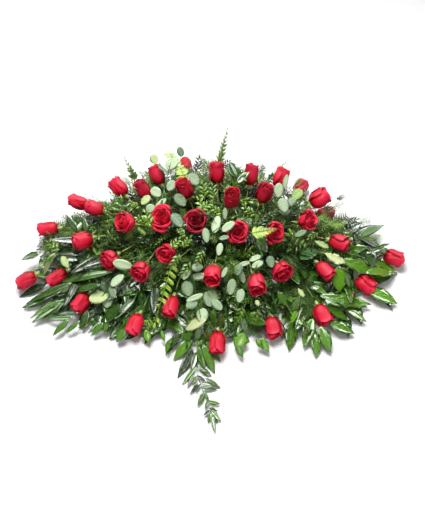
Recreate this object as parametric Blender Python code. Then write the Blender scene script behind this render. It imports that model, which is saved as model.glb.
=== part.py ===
"""A casket spray: red roses and mixed greens, their stems standing in a block of wet foam on a saddle tray.

Metres, +Z up. The origin is the middle of the tray's underside, +X runs along the spray and -Y is its front.
"""

import itertools
import math
import random
from typing import NamedTuple

import bmesh
import bpy
from mathutils import Vector
from mathutils.bvhtree import BVHTree

SEED = 1907
GAP = 0.0003

# The outline that the blooms' middles lie on: half its length, half its depth and its height.
DOME_LENGTH = 0.50
DOME_DEPTH = 0.27
DOME_HEIGHT = 0.205
DOME_POINT = 1.5

TRAY_SIZE = Vector((0.500, 0.136, 0.018))
TRAY_WALL = 0.0025
TRAY_FLOOR = 0.003
TRAY_ROUNDING = 0.004
FOAM_SIZE = Vector((0.460, 0.110, 0.080))
FOAM_ROUNDING = 0.003
FOAM_ROOM = 0.009
TAPE_WIDTH = 0.012
TAPE_THICKNESS = 0.0006
TAPE_PLACE = 0.115
STEM_PLAY = 0.0003
LOWEST = 0.0025

# The spray is seen from the front and above. These turn a place in the picture into a line of sight.
VIEW_ELEVATION = math.radians(55)
VIEW_DISTANCE = 2.1
PIXELS_PER_METRE = 375
PICTURE_MIDDLE = Vector((212.5, 257.5))
ORIGIN_IN_PICTURE = Vector((212.5, 245.0))

# The stems of a node join a short rod inside the foam, so that the node is one solid.
ROD_RADIUS = 0.0045
ROD_ROOM = 0.0015
ROSE_RODS = {
    "outer_left": (Vector((-0.206, 0.0, 0.050)), Vector((-0.136, 0.0, 0.050))),
    "inner_left": (Vector((-0.118, 0.0, 0.050)), Vector((-0.012, 0.0, 0.050))),
    "inner_right": (Vector((0.012, 0.0, 0.050)), Vector((0.118, 0.0, 0.050))),
    "outer_right": (Vector((0.136, 0.0, 0.050)), Vector((0.206, 0.0, 0.050))),
}
INNER_REACH = 0.225
ROSE_STEM_RADIUS = 0.0029
BLOOM_DROOP = 0.24
BUD_LENGTH = 0.057
OPEN_LENGTH = 0.045
PETALS_ROUND = 3
PETAL_STEPS = (0.0, 0.34, 0.68, 0.96)
BUD_STEPS = (0.0, 0.5, 0.94)
BUD_OPENNESS = 0.35
PETAL_OVERLAP = 0.11
SEPALS = 5
SEPAL_REACH = 0.019
CALYX_LENGTH = 0.010


class Rose(NamedTuple):
    """A rose by its bloom's middle in the picture, its width in metres and how open it is, 0 to 1."""

    px: float
    py: float
    width: float
    openness: float
    behind: bool = False
    leaf: float = 0.0


ROSES = (
    Rose(217, 172, 0.044, 0.15),
    Rose(233, 180, 0.038, 0.1, behind=True),
    Rose(251, 174, 0.040, 0.15),
    Rose(281, 177, 0.042, 0.3),
    Rose(300, 187, 0.038, 0.2, behind=True),
    Rose(320, 198, 0.050, 0.2),
    Rose(325, 214, 0.040, 0.2, behind=True),
    Rose(307, 221, 0.044, 0.5),
    Rose(265, 193, 0.046, 0.4),
    Rose(232, 198, 0.046, 0.3),
    Rose(185, 188, 0.044, 0.2),
    Rose(157, 174, 0.042, 0.3),
    Rose(186, 166, 0.038, 0.1, behind=True),
    Rose(143, 189, 0.042, 0.2),
    Rose(118, 187, 0.042, 0.2),
    Rose(78, 202, 0.038, 0.2),
    Rose(94, 208, 0.042, 0.3),
    Rose(48, 229, 0.042, 0.2),
    Rose(82, 240, 0.048, 0.4),
    Rose(125, 222, 0.052, 0.8),
    Rose(163, 218, 0.056, 1.0),
    Rose(196, 221, 0.050, 0.9),
    Rose(238, 232, 0.046, 0.9),
    Rose(274, 233, 0.046, 0.8),
    Rose(340, 243, 0.046, 0.4),
    Rose(394, 257, 0.044, 0.3),
    Rose(366, 284, 0.046, 0.2, leaf=0.55),
    Rose(326, 271, 0.042, 0.2, leaf=0.6),
    Rose(282, 271, 0.048, 0.7),
    Rose(256, 284, 0.050, 0.4),
    Rose(213, 275, 0.046, 0.3),
    Rose(167, 253, 0.044, 0.8),
    Rose(110, 260, 0.046, 0.9),
    Rose(141, 271, 0.044, 0.5),
    Rose(26, 280, 0.042, 0.2),
    Rose(57, 278, 0.038, 0.0, leaf=0.6),
    Rose(81, 303, 0.044, 0.2),
    Rose(135, 325, 0.044, 0.2),
    Rose(171, 307, 0.042, 0.2),
    Rose(217, 343, 0.042, 0.1),
    Rose(273, 328, 0.046, 0.3),
    Rose(323, 315, 0.048, 0.2),
)


class Silver(NamedTuple):
    """A silver-dollar eucalyptus twig, by where it leaves the mass and where it ends in the picture."""

    side: str
    start: tuple
    end: tuple
    leaves: int
    size: float


SILVER_TWIGS = (
    Silver("left", (160, 207), (171, 161), 6, 0.036),
    Silver("left", (130, 258), (98, 302), 7, 0.040),
    Silver("left", (190, 262), (201, 319), 8, 0.040),
    Silver("right", (203, 240), (221, 226), 4, 0.034),
    Silver("right", (262, 252), (239, 297), 7, 0.036),
    Silver("right", (292, 214), (279, 187), 5, 0.036),
)
SILVER_RODS = {
    "left": (Vector((-0.034, -0.034, 0.066)), Vector((-0.006, -0.034, 0.066))),
    "right": (Vector((0.008, 0.034, 0.066)), Vector((0.040, 0.034, 0.066))),
}
SILVER_STEM_RADIUS = 0.0018

# Sword-fern tips, as (start, end) in the picture. They share a root behind the middle.
FERN_TIPS = (((187, 182), (170, 149)), ((249, 233), (277, 229)), ((172, 262), (153, 330)))
FERN_TIP_ROD = (Vector((-0.014, 0.004, 0.073)), Vector((0.014, 0.004, 0.073)))
MYRTLE_SPIKES = (((219, 165), (228, 126)), ((138, 183), (123, 156)), ((268, 181), (287, 161)))
MYRTLE_ROD = (Vector((-0.030, 0.048, 0.058)), Vector((-0.006, 0.048, 0.058)))
TRAIL_PATH = ((200, 334), (197, 352), (197, 374), (204, 393), (210, 408), (213, 421))
TRAIL_SIDES = (((191, 332), (182, 350)), ((207, 336), (210, 358)))
TRAIL_HEIGHT = 0.011
TRAIL_ROD = (Vector((-0.030, -0.047, 0.030)), Vector((-0.006, -0.047, 0.030)))


class Leaf(NamedTuple):
    """How a kind of green grows: its leaves' length, width, pitch along the stem and lean away from it."""

    length: float
    width: float
    pitch: float
    lean: float
    arch: float = 0.14
    small: bool = False


BROAD = Leaf(0.086, 0.038, 0.048, 0.90)
LANCE = Leaf(0.096, 0.024, 0.044, 0.62, arch=0.10)
SALAL = Leaf(0.088, 0.056, 0.040, 0.95, arch=0.10, small=True)
COVER = SALAL._replace(pitch=0.022)
RUSCUS = Leaf(0.062, 0.026, 0.036, 0.85, small=True)
TRAILING = Leaf(0.040, 0.013, 0.022, 0.85, arch=0.05, small=True)
# Stations of a leaf blade: the share of its length, and the share of its full width there.
LEAF_STATIONS = ((0.30, 0.94), (0.66, 0.84))
LEAF_FOLD = 0.2
LEAF_THICKNESS = 0.0016
LEAF_FOOT = 0.0026
BLUNT_END = 0.004
# Past this share of a stem its leaves have their full form, and before it a plainer one.
FULL_FORM = 0.7
STEEP = 0.5
FLAT_LEAN = 1.15
# How far a leaf may roll about its stem and lean in or out, in degrees, to come clear: tried in this order.
LEAF_TURNS = (
    *((0, 0), (18, 0), (-18, 0), (34, 0), (0, 22), (-34, 0)),
    *((18, 22), (50, 0), (-50, 0), (34, 22), (-18, 22)),
)
# How much smaller a leaf may grow to come clear.
LEAF_SHRINKS = (1.0, 0.72)
FERN_TWIG = 0.054
FERN_PITCH = 0.015
# A low branch is bare for this length and this share of its whole, where the others cover it.
LOW_BARE = 0.125
LOW_SHARE = 0.28
WISP_TWIG = 0.022


class Branch(NamedTuple):
    """A branch of greens by its kind, the place of its tip in the picture and the tip's height."""

    kind: object
    px: float
    py: float
    height: float = 0.012


GREENS = {
    "greens_left": (
        Branch(LANCE, 20, 297, 0.012),
        Branch(LANCE, 28, 317),
        Branch(LANCE, 51, 334),
        Branch(RUSCUS, 22, 259, 0.050),
        Branch("wisp", 36, 240, 0.070),
        Branch(RUSCUS, 64, 218, 0.080),
        Branch(LANCE, 40, 262, 0.030),
    ),
    "greens_right": (
        Branch(BROAD, 357, 333),
        Branch(BROAD, 369, 319),
        Branch(BROAD, 372, 306, 0.030),
        Branch(BROAD, 399, 302),
        Branch(BROAD, 398, 271, 0.020),
        Branch(LANCE, 392, 241, 0.040),
        Branch("wisp", 371, 223, 0.060),
        Branch("wisp", 344, 205, 0.120),
    ),
    "greens_front_left": (
        Branch(LANCE, 82, 330),
        Branch(LANCE, 100, 333),
        Branch(BROAD, 117, 342),
        Branch(BROAD, 148, 343),
        Branch(BROAD, 167, 354),
    ),
    "greens_front_right": (
        Branch(BROAD, 240, 356),
        Branch(LANCE, 263, 350),
        Branch(LANCE, 277, 352),
        Branch(BROAD, 304, 347),
        Branch(BROAD, 332, 352),
    ),
    "greens_back": (
        Branch(BROAD, 88, 212),
        Branch(RUSCUS, 112, 198),
        Branch(BROAD, 138, 188),
        Branch(BROAD, 172, 176),
        Branch(BROAD, 204, 170),
        Branch(BROAD, 240, 172),
        Branch(BROAD, 278, 184),
        Branch(RUSCUS, 306, 198),
        Branch(BROAD, 332, 212),
    ),
}
GREENS_RODS = {
    "greens_left": (Vector((-0.214, -0.036, 0.026)), Vector((-0.214, 0.036, 0.026))),
    "greens_right": (Vector((0.214, -0.036, 0.026)), Vector((0.214, 0.036, 0.026))),
    "greens_front_left": (Vector((-0.180, -0.040, 0.024)), Vector((-0.050, -0.040, 0.024))),
    "greens_front_right": (Vector((0.020, -0.040, 0.024)), Vector((0.180, -0.040, 0.024))),
    "greens_back": (Vector((-0.165, 0.040, 0.024)), Vector((0.165, 0.040, 0.024))),
}
# Upright stems fill the middle. Their tips lie under the blooms in rows, each by its angle over from the
# front and its shift along the spray.
FILL_ROWS = ((22, 0.0), (50, 0.055), (76, 0.0), (106, 0.055), (134, 0.0))
FILL_PITCH = 0.110
FILL_COLUMNS = 4
FILL_DEPTH = 0.84
FILL_SPAN = 0.378
FERN_EVERY = 4
# Stems that end within this of the middle line carry closer leaves, which hide the foam.
COVER_REACH = 0.07
GREENS_STEM_RADIUS = 0.0021
TRAIL_STEM_RADIUS = 0.0018
TIP_STEM_RADIUS = 0.0017
TIP_LEAFLET = 0.019
MYRTLE_LEAF = 0.018
MYRTLE_PITCH = 0.014
# The thickness that a leaf is tested for room with.
CLEAR_THICKNESS = 0.0026


class Shell(NamedTuple):
    """A closed mesh: its points and its faces."""

    points: list
    faces: list


# Materials

COLOURS = {
    "rose_petal": (0.62, 0.010, 0.028),
    "rose_green": (0.36, 0.46, 0.12),
    "leaf_green": (0.030, 0.135, 0.022),
    "silver_green": (0.42, 0.58, 0.40),
    "tip_green": (0.45, 0.66, 0.08),
    "spike_green": (0.24, 0.38, 0.09),
    "foam_green": (0.03, 0.11, 0.05),
    "tray_green": (0.02, 0.07, 0.03),
    "tape_green": (0.03, 0.20, 0.08),
}
ROUGHNESS = {"rose_petal": 0.6, "leaf_green": 0.35, "foam_green": 0.95, "tray_green": 0.4, "tape_green": 0.3}
PLAIN_ROUGHNESS = 0.55


def material(name):
    """The material of that name, made on first use."""
    made = bpy.data.materials.get(name)
    if made is None:
        made = bpy.data.materials.new(name)
        made.use_nodes = True
        shader = made.node_tree.nodes["Principled BSDF"]
        shader.inputs["Base Color"].default_value = (*COLOURS[name], 1.0)
        shader.inputs["Roughness"].default_value = ROUGHNESS.get(name, PLAIN_ROUGHNESS)
        shader.inputs["Metallic"].default_value = 0.0
    return made


# Meshes and solids


def object_of(name, shell):
    """A mesh object of the shell, with its faces pointing out, in the scene."""
    mesh = bpy.data.meshes.new(name)
    work = bmesh.new()
    corners = [work.verts.new(point) for point in shell.points]
    for face in shell.faces:
        work.faces.new([corners[i] for i in face])
    bmesh.ops.recalc_face_normals(work, faces=work.faces)
    if work.calc_volume(signed=True) < 0:
        bmesh.ops.reverse_faces(work, faces=work.faces)
    work.to_mesh(mesh)
    work.free()
    made = bpy.data.objects.new(name, mesh)
    bpy.context.scene.collection.objects.link(made)
    return made


def applied(obj):
    """Replaces the object's mesh by what its modifiers make of it."""
    graph = bpy.context.evaluated_depsgraph_get()
    mesh = bpy.data.meshes.new_from_object(obj.evaluated_get(graph))
    obj.modifiers.clear()
    obj.data = mesh
    return obj


def combine(target, shells, operation):
    """Joins the shells to the target, or cuts them from it, with one Boolean on a collection."""
    others = bpy.data.collections.new("others")
    bpy.context.scene.collection.children.link(others)
    for number, shell in enumerate(shells):
        piece = object_of(f"piece_{number}", shell)
        bpy.context.scene.collection.objects.unlink(piece)
        others.objects.link(piece)
    boolean = target.modifiers.new("combine", "BOOLEAN")
    boolean.operation = operation
    boolean.operand_type = "COLLECTION"
    boolean.collection = others
    boolean.solver = "MANIFOLD"
    applied(target)
    for piece in list(others.objects):
        bpy.data.objects.remove(piece)
    bpy.data.collections.remove(others)
    return target


def keep_main_body(obj):
    """Drops loose scraps and sealed hollows: only the connected surface with the widest box stays."""
    work = bmesh.new()
    work.from_mesh(obj.data)
    waiting = set(work.verts)
    bodies = []
    while waiting:
        body, front = set(), [waiting.pop()]
        while front:
            corner = front.pop()
            body.add(corner)
            near = {edge.other_vert(corner) for edge in corner.link_edges} & waiting
            waiting -= near
            front.extend(near)
        bodies.append(body)

    def spread(body):
        return sum(max(c.co[axis] for c in body) - min(c.co[axis] for c in body) for axis in range(3))

    main = max(bodies, key=spread)
    bmesh.ops.delete(work, geom=[c for c in work.verts if c not in main], context="VERTS")
    work.to_mesh(obj.data)
    work.free()


def fused(name, shells, colour):
    """One named solid of all the shells."""
    made = combine(object_of(name, shells[0]), shells[1:], "UNION")
    keep_main_body(made)
    made.data.materials.append(material(colour))
    return made


def around(direction, hint=Vector((0.0, 0.0, 1.0))):
    """Two unit vectors across a direction: the first as near the hint as it can be."""
    direction = direction.normalized()
    up = hint - direction * hint.dot(direction)
    if up.length < 1e-3:
        up = direction.orthogonal()
    up.normalize()
    return up, direction.cross(up)


def skin(rings):
    """A closed shell over rings of points that follow one another, with flat ends."""
    count = len(rings[0])
    points = [point for ring in rings for point in ring]
    faces = [tuple(range(count)), tuple(range(len(points) - count, len(points)))]
    for row in range(len(rings) - 1):
        for i in range(count):
            a, b = row * count + i, row * count + (i + 1) % count
            faces.append((a, b, b + count, a + count))
    return Shell(points, faces)


def tube(path, radii, sides):
    """A tube along the path, with a radius for each of its points."""
    rings = []
    up = None
    for i, point in enumerate(path):
        along = path[min(i + 1, len(path) - 1)] - path[max(i - 1, 0)]
        up, side = around(along, up or Vector((0.0, 0.0, 1.0)))
        turns = [math.tau * k / sides for k in range(sides)]
        rings.append([point + (up * math.cos(t) + side * math.sin(t)) * radii[i] for t in turns])
    return skin(rings)


def rod(ends, play=0.0):
    """The rod that a node's stems join, or with play the room that it takes in the foam."""
    along = (ends[1] - ends[0]).normalized() * (ROD_RADIUS + play)
    return tube([ends[0] - along, ends[1] + along], [ROD_RADIUS + play] * 2, 4)


def kite(root, along, face, length, width, arch=0.1, fold=0.18, thick=0.0015, station=0.42):
    """A small leaf: widest at its station, folded up from its midrib and flat below, on a pointed root."""
    along = along.normalized()
    face, side = around(along, face)
    middle = root + along * (length * station) - face * (arch * length * station**2)
    reach = width / 2
    points = [
        root,
        middle - side * reach + face * (fold * reach),
        middle + side * reach + face * (fold * reach),
        root + along * length - face * (arch * length),
        middle + face * thick,
    ]
    return Shell(points, [(0, 4, 1), (0, 2, 4), (1, 4, 3), (4, 2, 3), (0, 1, 3), (0, 3, 2)])


def blade(root, along, face, length, width, arch=0.16, fold=0.22, thick=0.0016):
    """A leaf blade: it starts as a short upright edge, folds up from its midrib and arches to a point."""
    along = along.normalized()
    face, side = around(along, face)
    half = thick / 2
    points = [root + face * half, root - face * half]
    for share, spread in LEAF_STATIONS:
        middle = root + along * (length * share) - face * (arch * length * share**2)
        reach = width / 2 * spread
        points.append(middle - side * reach + face * (fold * reach))
        points.append(middle + face * half)
        points.append(middle + side * reach + face * (fold * reach))
        points.append(middle - face * half)
    points.append(root + along * length - face * (arch * length))
    tip = len(points) - 1
    left, upper, right, lower = 2, 3, 4, 5
    faces = [(0, upper, left), (0, right, upper), (1, left, lower), (1, lower, right)]
    faces += [(0, left, 1), (0, 1, right)]
    for _ in range(len(LEAF_STATIONS) - 1):
        for a, b in ((left, upper), (upper, right), (left, lower), (lower, right)):
            outer, inner = (a, b) if a in (left, right) else (b, a)
            faces += [(outer, inner, inner + 4), (outer, inner + 4, outer + 4)]
        left, upper, right, lower = left + 4, upper + 4, right + 4, lower + 4
    faces += [(left, upper, tip), (upper, right, tip), (lower, left, tip), (right, lower, tip)]
    return Shell(points, faces)


def coin(root, along, face, size, thick=0.0016, corners=7):
    """A round leaf, flat below and a little domed, whose rim starts at its root."""
    along = along.normalized()
    face, side = around(along, face)
    middle = root + along * (size / 2)
    turns = [math.tau * k / corners for k in range(corners)]
    rim = [middle + (side * math.sin(t) - along * math.cos(t)) * (size / 2) for t in turns]
    faces = [tuple(reversed(range(corners)))] + [(i, (i + 1) % corners, corners) for i in range(corners)]
    return Shell([*rim, middle + face * thick], faces)


def needle(root, along, length, radius):
    """A three-sided spike."""
    up, side = around(along)
    turns = [math.tau * k / 3 for k in range(3)]
    base = [root + (up * math.cos(t) + side * math.sin(t)) * radius for t in turns]
    return Shell([*base, root + along.normalized() * length], [(0, 1, 2), (0, 1, 3), (1, 2, 3), (2, 0, 3)])


# Room between nodes

occupied = []
foam_place = []


def tree_of(shell):
    return BVHTree.FromPolygons(shell.points, shell.faces)


def tree_of_object(obj):
    corners = [v.co.copy() for v in obj.data.vertices]
    return BVHTree.FromPolygons(corners, [tuple(p.vertices) for p in obj.data.polygons])


def occupy(obj):
    """Keeps this solid's place, so that later pieces are bent clear of it."""
    occupied.append(tree_of_object(obj))


def is_clear(shell, in_foam=False):
    """Whether the shell is above the table and crosses no placed solid, nor the foam unless it may."""
    if min(point.z for point in shell.points) < LOWEST:
        return False
    tree = tree_of(shell)
    others = occupied if in_foam else occupied + foam_place
    return not any(tree.overlap(other) for other in others)


def foam_exit(path):
    """How far along a path its stem is out of the foam for good."""
    total = path_length(path)
    reach = 0.5 * FOAM_SIZE + Vector((FOAM_ROOM, FOAM_ROOM, FOAM_ROOM))
    middle = Vector((0.0, 0.0, TRAY_FLOOR + 0.5 * FOAM_SIZE.z))
    steps = 60
    for step in range(steps, 0, -1):
        spot, _ = spot_on(path, step / steps)
        if all(abs((spot - middle)[axis]) < reach[axis] for axis in range(3)):
            return total * min(1.0, (step + 1) / steps)
    return 0.0


# The view and the dome


def line_of_sight(px, py):
    """Where the viewer's eye is and the direction in which it sees this place in the picture."""
    picture_up = Vector((0.0, math.sin(VIEW_ELEVATION), math.cos(VIEW_ELEVATION)))
    forward = Vector((0.0, math.cos(VIEW_ELEVATION), -math.sin(VIEW_ELEVATION)))
    aim = picture_up * ((ORIGIN_IN_PICTURE.y - PICTURE_MIDDLE.y) / PIXELS_PER_METRE)
    eye = aim - forward * VIEW_DISTANCE
    across = Vector(((px - PICTURE_MIDDLE.x) / PIXELS_PER_METRE, 0.0, 0.0))
    seen = aim + across + picture_up * ((PICTURE_MIDDLE.y - py) / PIXELS_PER_METRE)
    return eye, (seen - eye).normalized()


def dome_level(point, swell=1.0):
    """Below zero inside the dome that the blooms lie on, and above zero outside it."""
    lengthways = abs(point.x / (DOME_LENGTH * swell)) ** DOME_POINT
    crossways = (point.y / (DOME_DEPTH * swell)) ** 2 + (point.z / (DOME_HEIGHT * swell)) ** 2
    return lengthways + crossways ** (DOME_POINT / 2) - 1.0


def on_dome(px, py, behind=False, floor=0.036, swell=1.0):
    """The point of the dome seen at this place in the picture, or the nearest to it, above the floor."""
    eye, ray = line_of_sight(px, py)
    step = 0.002
    count = round(VIEW_DISTANCE * 0.8 / step)
    places = [eye + ray * (VIEW_DISTANCE * 0.6 + step * k) for k in range(count)]
    places = [place for place in places if place.z > floor]
    levels = [dome_level(place, swell) for place in places]
    inside = [k for k, level in enumerate(levels) if level <= 0]
    if inside:
        return places[inside[-1] if behind else inside[0]]
    return places[levels.index(min(levels))]


def eased(start, end, leave, arrive, count):
    """Points on a smooth curve that leaves and arrives along two given vectors."""
    first, second = start + leave, end - arrive
    points = []
    for k in range(count):
        t = k / (count - 1)
        s = 1 - t
        points.append(start * s**3 + first * 3 * s**2 * t + second * 3 * s * t**2 + end * t**3)
    return points


# The holder


def rounded_box(name, size, bottom, rounding, colour):
    """A box on its bottom height, with rounded edges."""
    mesh = bpy.data.meshes.new(name)
    work = bmesh.new()
    bmesh.ops.create_cube(work, size=1.0)
    bmesh.ops.scale(work, vec=size, verts=work.verts)
    bmesh.ops.translate(work, vec=(0.0, 0.0, bottom + size.z / 2), verts=work.verts)
    work.to_mesh(mesh)
    work.free()
    box = bpy.data.objects.new(name, mesh)
    bpy.context.scene.collection.objects.link(box)
    bevel = box.modifiers.new("rounding", "BEVEL")
    bevel.width = rounding
    bevel.segments = 1
    box.data.materials.append(material(colour))
    return box


def build_tray():
    """The saddle tray: a shallow trough with a flat underside."""
    mesh = bpy.data.meshes.new("tray")
    work = bmesh.new()
    bmesh.ops.create_cube(work, size=1.0)
    bmesh.ops.scale(work, vec=TRAY_SIZE, verts=work.verts)
    bmesh.ops.translate(work, vec=(0.0, 0.0, TRAY_SIZE.z / 2), verts=work.verts)
    upright = [e for e in work.edges if abs(e.verts[0].co.z - e.verts[1].co.z) > TRAY_SIZE.z / 2]
    bmesh.ops.bevel(work, geom=upright, offset=TRAY_ROUNDING, segments=2, affect="EDGES", profile=0.5)
    top = [f for f in work.faces if f.normal.z > 0.9]
    bmesh.ops.inset_region(work, faces=top, thickness=TRAY_WALL)
    inner = [f for f in work.faces if f.normal.z > 0.9 and f.calc_center_median().length < TRAY_SIZE.z * 1.2]
    sunk = bmesh.ops.extrude_face_region(work, geom=inner)
    bmesh.ops.delete(work, geom=inner, context="FACES")
    corners = [item for item in sunk["geom"] if isinstance(item, bmesh.types.BMVert)]
    bmesh.ops.translate(work, vec=(0.0, 0.0, TRAY_FLOOR - TRAY_SIZE.z), verts=corners)
    bmesh.ops.recalc_face_normals(work, faces=work.faces)
    work.to_mesh(mesh)
    work.free()
    tray = bpy.data.objects.new("tray", mesh)
    bpy.context.scene.collection.objects.link(tray)
    tray.data.materials.append(material("tray_green"))
    return tray


def build_tape(name, x):
    """A strap of anchor tape over the foam, stuck to the tray's two long walls."""
    wall = TRAY_SIZE.y / 2 + GAP
    edge = FOAM_SIZE.y / 2 + GAP
    top = TRAY_FLOOR + GAP + FOAM_SIZE.z + GAP
    half = [(wall, 0.005), (wall, TRAY_SIZE.z + GAP)]
    half += [(edge, top - FOAM_ROUNDING), (edge - FOAM_ROUNDING, top)]
    line = half + [(-y, z) for y, z in reversed(half)]
    mesh = bpy.data.meshes.new(name)
    work = bmesh.new()
    rows = [[work.verts.new((x + end, y, z)) for y, z in line] for end in (-TAPE_WIDTH / 2, TAPE_WIDTH / 2)]
    for k in range(len(line) - 1):
        work.faces.new((rows[0][k], rows[0][k + 1], rows[1][k + 1], rows[1][k]))
    bmesh.ops.recalc_face_normals(work, faces=work.faces)
    if sum(face.normal.z for face in work.faces) < 0:
        bmesh.ops.reverse_faces(work, faces=work.faces)
    work.to_mesh(mesh)
    work.free()
    tape = bpy.data.objects.new(name, mesh)
    bpy.context.scene.collection.objects.link(tape)
    thickness = tape.modifiers.new("thickness", "SOLIDIFY")
    thickness.thickness = TAPE_THICKNESS
    thickness.offset = 1.0
    tape.data.materials.append(material("tape_green"))
    return applied(tape)


# Roses


def rod_spots(ends, targets):
    """A root on the rod for each target, in the targets' order along the rod."""
    along = (ends[1] - ends[0]).normalized()
    middle = (ends[0] + ends[1]) / 2
    order = sorted(range(len(targets)), key=lambda k: (targets[k] - middle).normalized().dot(along))
    spots = [None] * len(targets)
    for rank, k in enumerate(order):
        spots[k] = ends[0] + (ends[1] - ends[0]) * ((rank + 0.5) / len(targets))
    return spots


def rose_group(middle):
    """The name of the group of stems that a bloom's stem belongs to."""
    reach = "inner" if abs(middle.x) < INNER_REACH else "outer"
    return f"{reach}_{'right' if middle.x > 0 else 'left'}"


def bloom_axis(middle, root):
    """The way a bloom faces: away from its root, drooping the more it leans out."""
    axis = (middle - root).normalized()
    axis.z -= BLOOM_DROOP * math.hypot(axis.x, axis.y)
    return axis.normalized()


def bloom_length(rose):
    return BUD_LENGTH + (OPEN_LENGTH - BUD_LENGTH) * rose.openness


def bloom_rings(length, width, openness):
    """The rose's turned outline from base to heart: height, radius and how far its petals overlap."""
    radius = width / 2
    flare = 0.98 + 0.06 * openness
    return (
        (0.10 * length, 0.50 * radius, 0.3),
        (0.42 * length, (0.98 - 0.08 * openness) * radius, 1.0),
        (0.90 * length, flare * radius, 1.0),
        ((0.80 - 0.08 * openness) * length, (0.70 + 0.02 * openness) * radius, 1.0),
        (0.99 * length, (0.44 + 0.10 * openness) * radius, 1.0),
    )


def bloom_shell(rose, base, axis, length, turn):
    """A bloom: petals in three layers, each starting outside its neighbour and tucked in under the next."""
    up, side = around(axis)
    steps = BUD_STEPS if rose.openness < BUD_OPENNESS else PETAL_STEPS
    rings = []
    for row, (height, radius, overlap) in enumerate(bloom_rings(length, rose.width, rose.openness)):
        ring = []
        for petal in range(PETALS_ROUND):
            for step in steps:
                angle = turn + math.tau * (petal + step) / PETALS_ROUND + math.radians(22) * row
                reach = radius * (1 + PETAL_OVERLAP * overlap * (1 - 2 * step))
                sag = 0.05 * length * (2 * step - 1) ** 2 if row in (2, 4) else 0.0
                spoke = up * math.cos(angle) + side * math.sin(angle)
                ring.append(base + axis * (height - sag) + spoke * reach)
        rings.append(ring)
    count = len(rings[0])
    shell = skin(rings)
    faces = shell.faces[2:]
    points = [*shell.points, base, base + axis * (0.90 * length)]
    last = len(shell.points) - count
    for i in range(count):
        faces.append((len(points) - 2, (i + 1) % count, i))
        faces.append((len(points) - 1, last + i, last + (i + 1) % count))
    split = []
    for face in faces:
        split += [face] if len(face) == 3 else [(face[0], face[1], face[2]), (face[0], face[2], face[3])]
    return Shell(points, split)


def rose_stem(path, base, axis, turn):
    """A rose's stem that widens into its calyx: five pointed sepals spread below the petals."""
    stem = tube(path, [ROSE_STEM_RADIUS] * len(path), 3)
    up, side = around(axis)

    def at(angle, radius, height):
        return base + axis * height + (up * math.cos(angle) + side * math.sin(angle)) * radius

    def angle_of(point):
        spoke = point - base
        return math.atan2(spoke.dot(side), spoke.dot(up)) % math.tau

    step = math.pi / SEPALS
    star = []
    for k in range(2 * SEPALS):
        reach, height = (SEPAL_REACH, -0.0036) if k % 2 else (0.0056, -0.0022)
        star.append(at(turn + step * k, reach, height))
    points = [*stem.points, *star, at(0.0, 0.0, -0.0008)]
    first = len(stem.points)
    lower = sorted(range(first - 3, first), key=lambda k: angle_of(points[k]))
    upper = sorted(range(first, first + 2 * SEPALS), key=lambda k: angle_of(points[k]))
    faces = [face for face in stem.faces if set(face) != set(range(first - 3, first))]
    faces += [(a, b, len(points) - 1) for a, b in zip(upper, upper[1:] + upper[:1])]
    i = j = 0
    while i < len(lower) or j < len(upper):
        low, high = lower[i % len(lower)], upper[j % len(upper)]
        if j == len(upper) or (i < len(lower) and angle_of(points[low]) < angle_of(points[high])):
            faces.append((lower[i - 1], low, upper[j - 1]))
            i += 1
        else:
            faces.append((upper[j - 1], high, lower[i - 1]))
            j += 1
    return Shell(points, faces)


def clear_stem(path, base, axis, turn):
    """The stem with its calyx turned to where the sepals are clear of the neighbouring blooms."""
    turned = [rose_stem(path, base, axis, turn + math.radians(6 * step)) for step in range(12)]
    return next((stem for stem in turned if is_clear(stem, in_foam=True)), turned[0])


def build_roses(draw):
    """Every bloom as a solid of its own, and each group's stems with their calyxes as one solid."""
    groups = {name: [] for name in ROSE_RODS}
    for number, rose in enumerate(ROSES):
        middle = on_dome(rose.px, rose.py, rose.behind)
        groups[rose_group(middle)].append((number, rose, middle))
    poses = {}
    for name, members in groups.items():
        roots = rod_spots(ROSE_RODS[name], [middle for _, _, middle in members])
        for root, (number, rose, middle) in zip(roots, members):
            axis = bloom_axis(middle, root)
            base = middle - axis * (bloom_length(rose) / 2)
            poses[number] = (root, base, axis)
            shell = bloom_shell(rose, base, axis, bloom_length(rose), number * 2.4)
            bloom = object_of(f"bloom_{number + 1:02d}", shell)
            bloom.data.materials.append(material("rose_petal"))
            occupy(bloom)
    cutters = []
    for name, members in groups.items():
        shells = [rod(ROSE_RODS[name])]
        cutters.append(rod(ROSE_RODS[name], ROD_ROOM))
        for number, rose, middle in members:
            root, base, axis = poses[number]
            reach = (base - root).length

            def route(first, second, root=root, base=base, axis=axis, reach=reach):
                leave = (base - root) * 0.3 + first
                return eased(root, base - axis * CALYX_LENGTH, leave, axis * (0.35 * reach) + second, 3)

            path = clear_path(route, draw, radius=ROSE_STEM_RADIUS)
            shells.append(clear_stem(path, base, axis, number * 2.4))
            cutters.append(stem_cutter(path, ROSE_STEM_RADIUS))
            if rose.leaf:
                spot, _ = spot_on(path, rose.leaf)
                outward = (axis + Vector((0.0, 0.0, 0.55))).normalized()
                leaf = blade(spot, outward, Vector((0.0, 0.0, 1.0)), 0.055, 0.032, arch=0.10)
                if is_clear(leaf):
                    shells.append(leaf)
        occupy(fused(f"rose_stems_{name}", shells, "rose_green"))
    return cutters


# Greens


def clear_path(route, draw, radius=GREENS_STEM_RADIUS, tries=400, most=0.05):
    """The first path clear of every placed solid, its bends moved as little as needed, or else None."""
    for attempt in range(tries):
        amount = most * attempt / tries
        shifts = [Vector([draw.uniform(-1, 1) for _ in range(3)]) * amount for _ in range(2)]
        path = route(*shifts)
        beyond = path[-1] + (path[-1] - path[-2]).normalized() * (BLUNT_END + GAP)
        pieces = list(zip(path, [*path[1:-1], beyond]))
        if all(is_clear(tube(piece, [radius + 3 * GAP] * 2, 3), in_foam=True) for piece in pieces):
            return path
    return None


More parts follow.
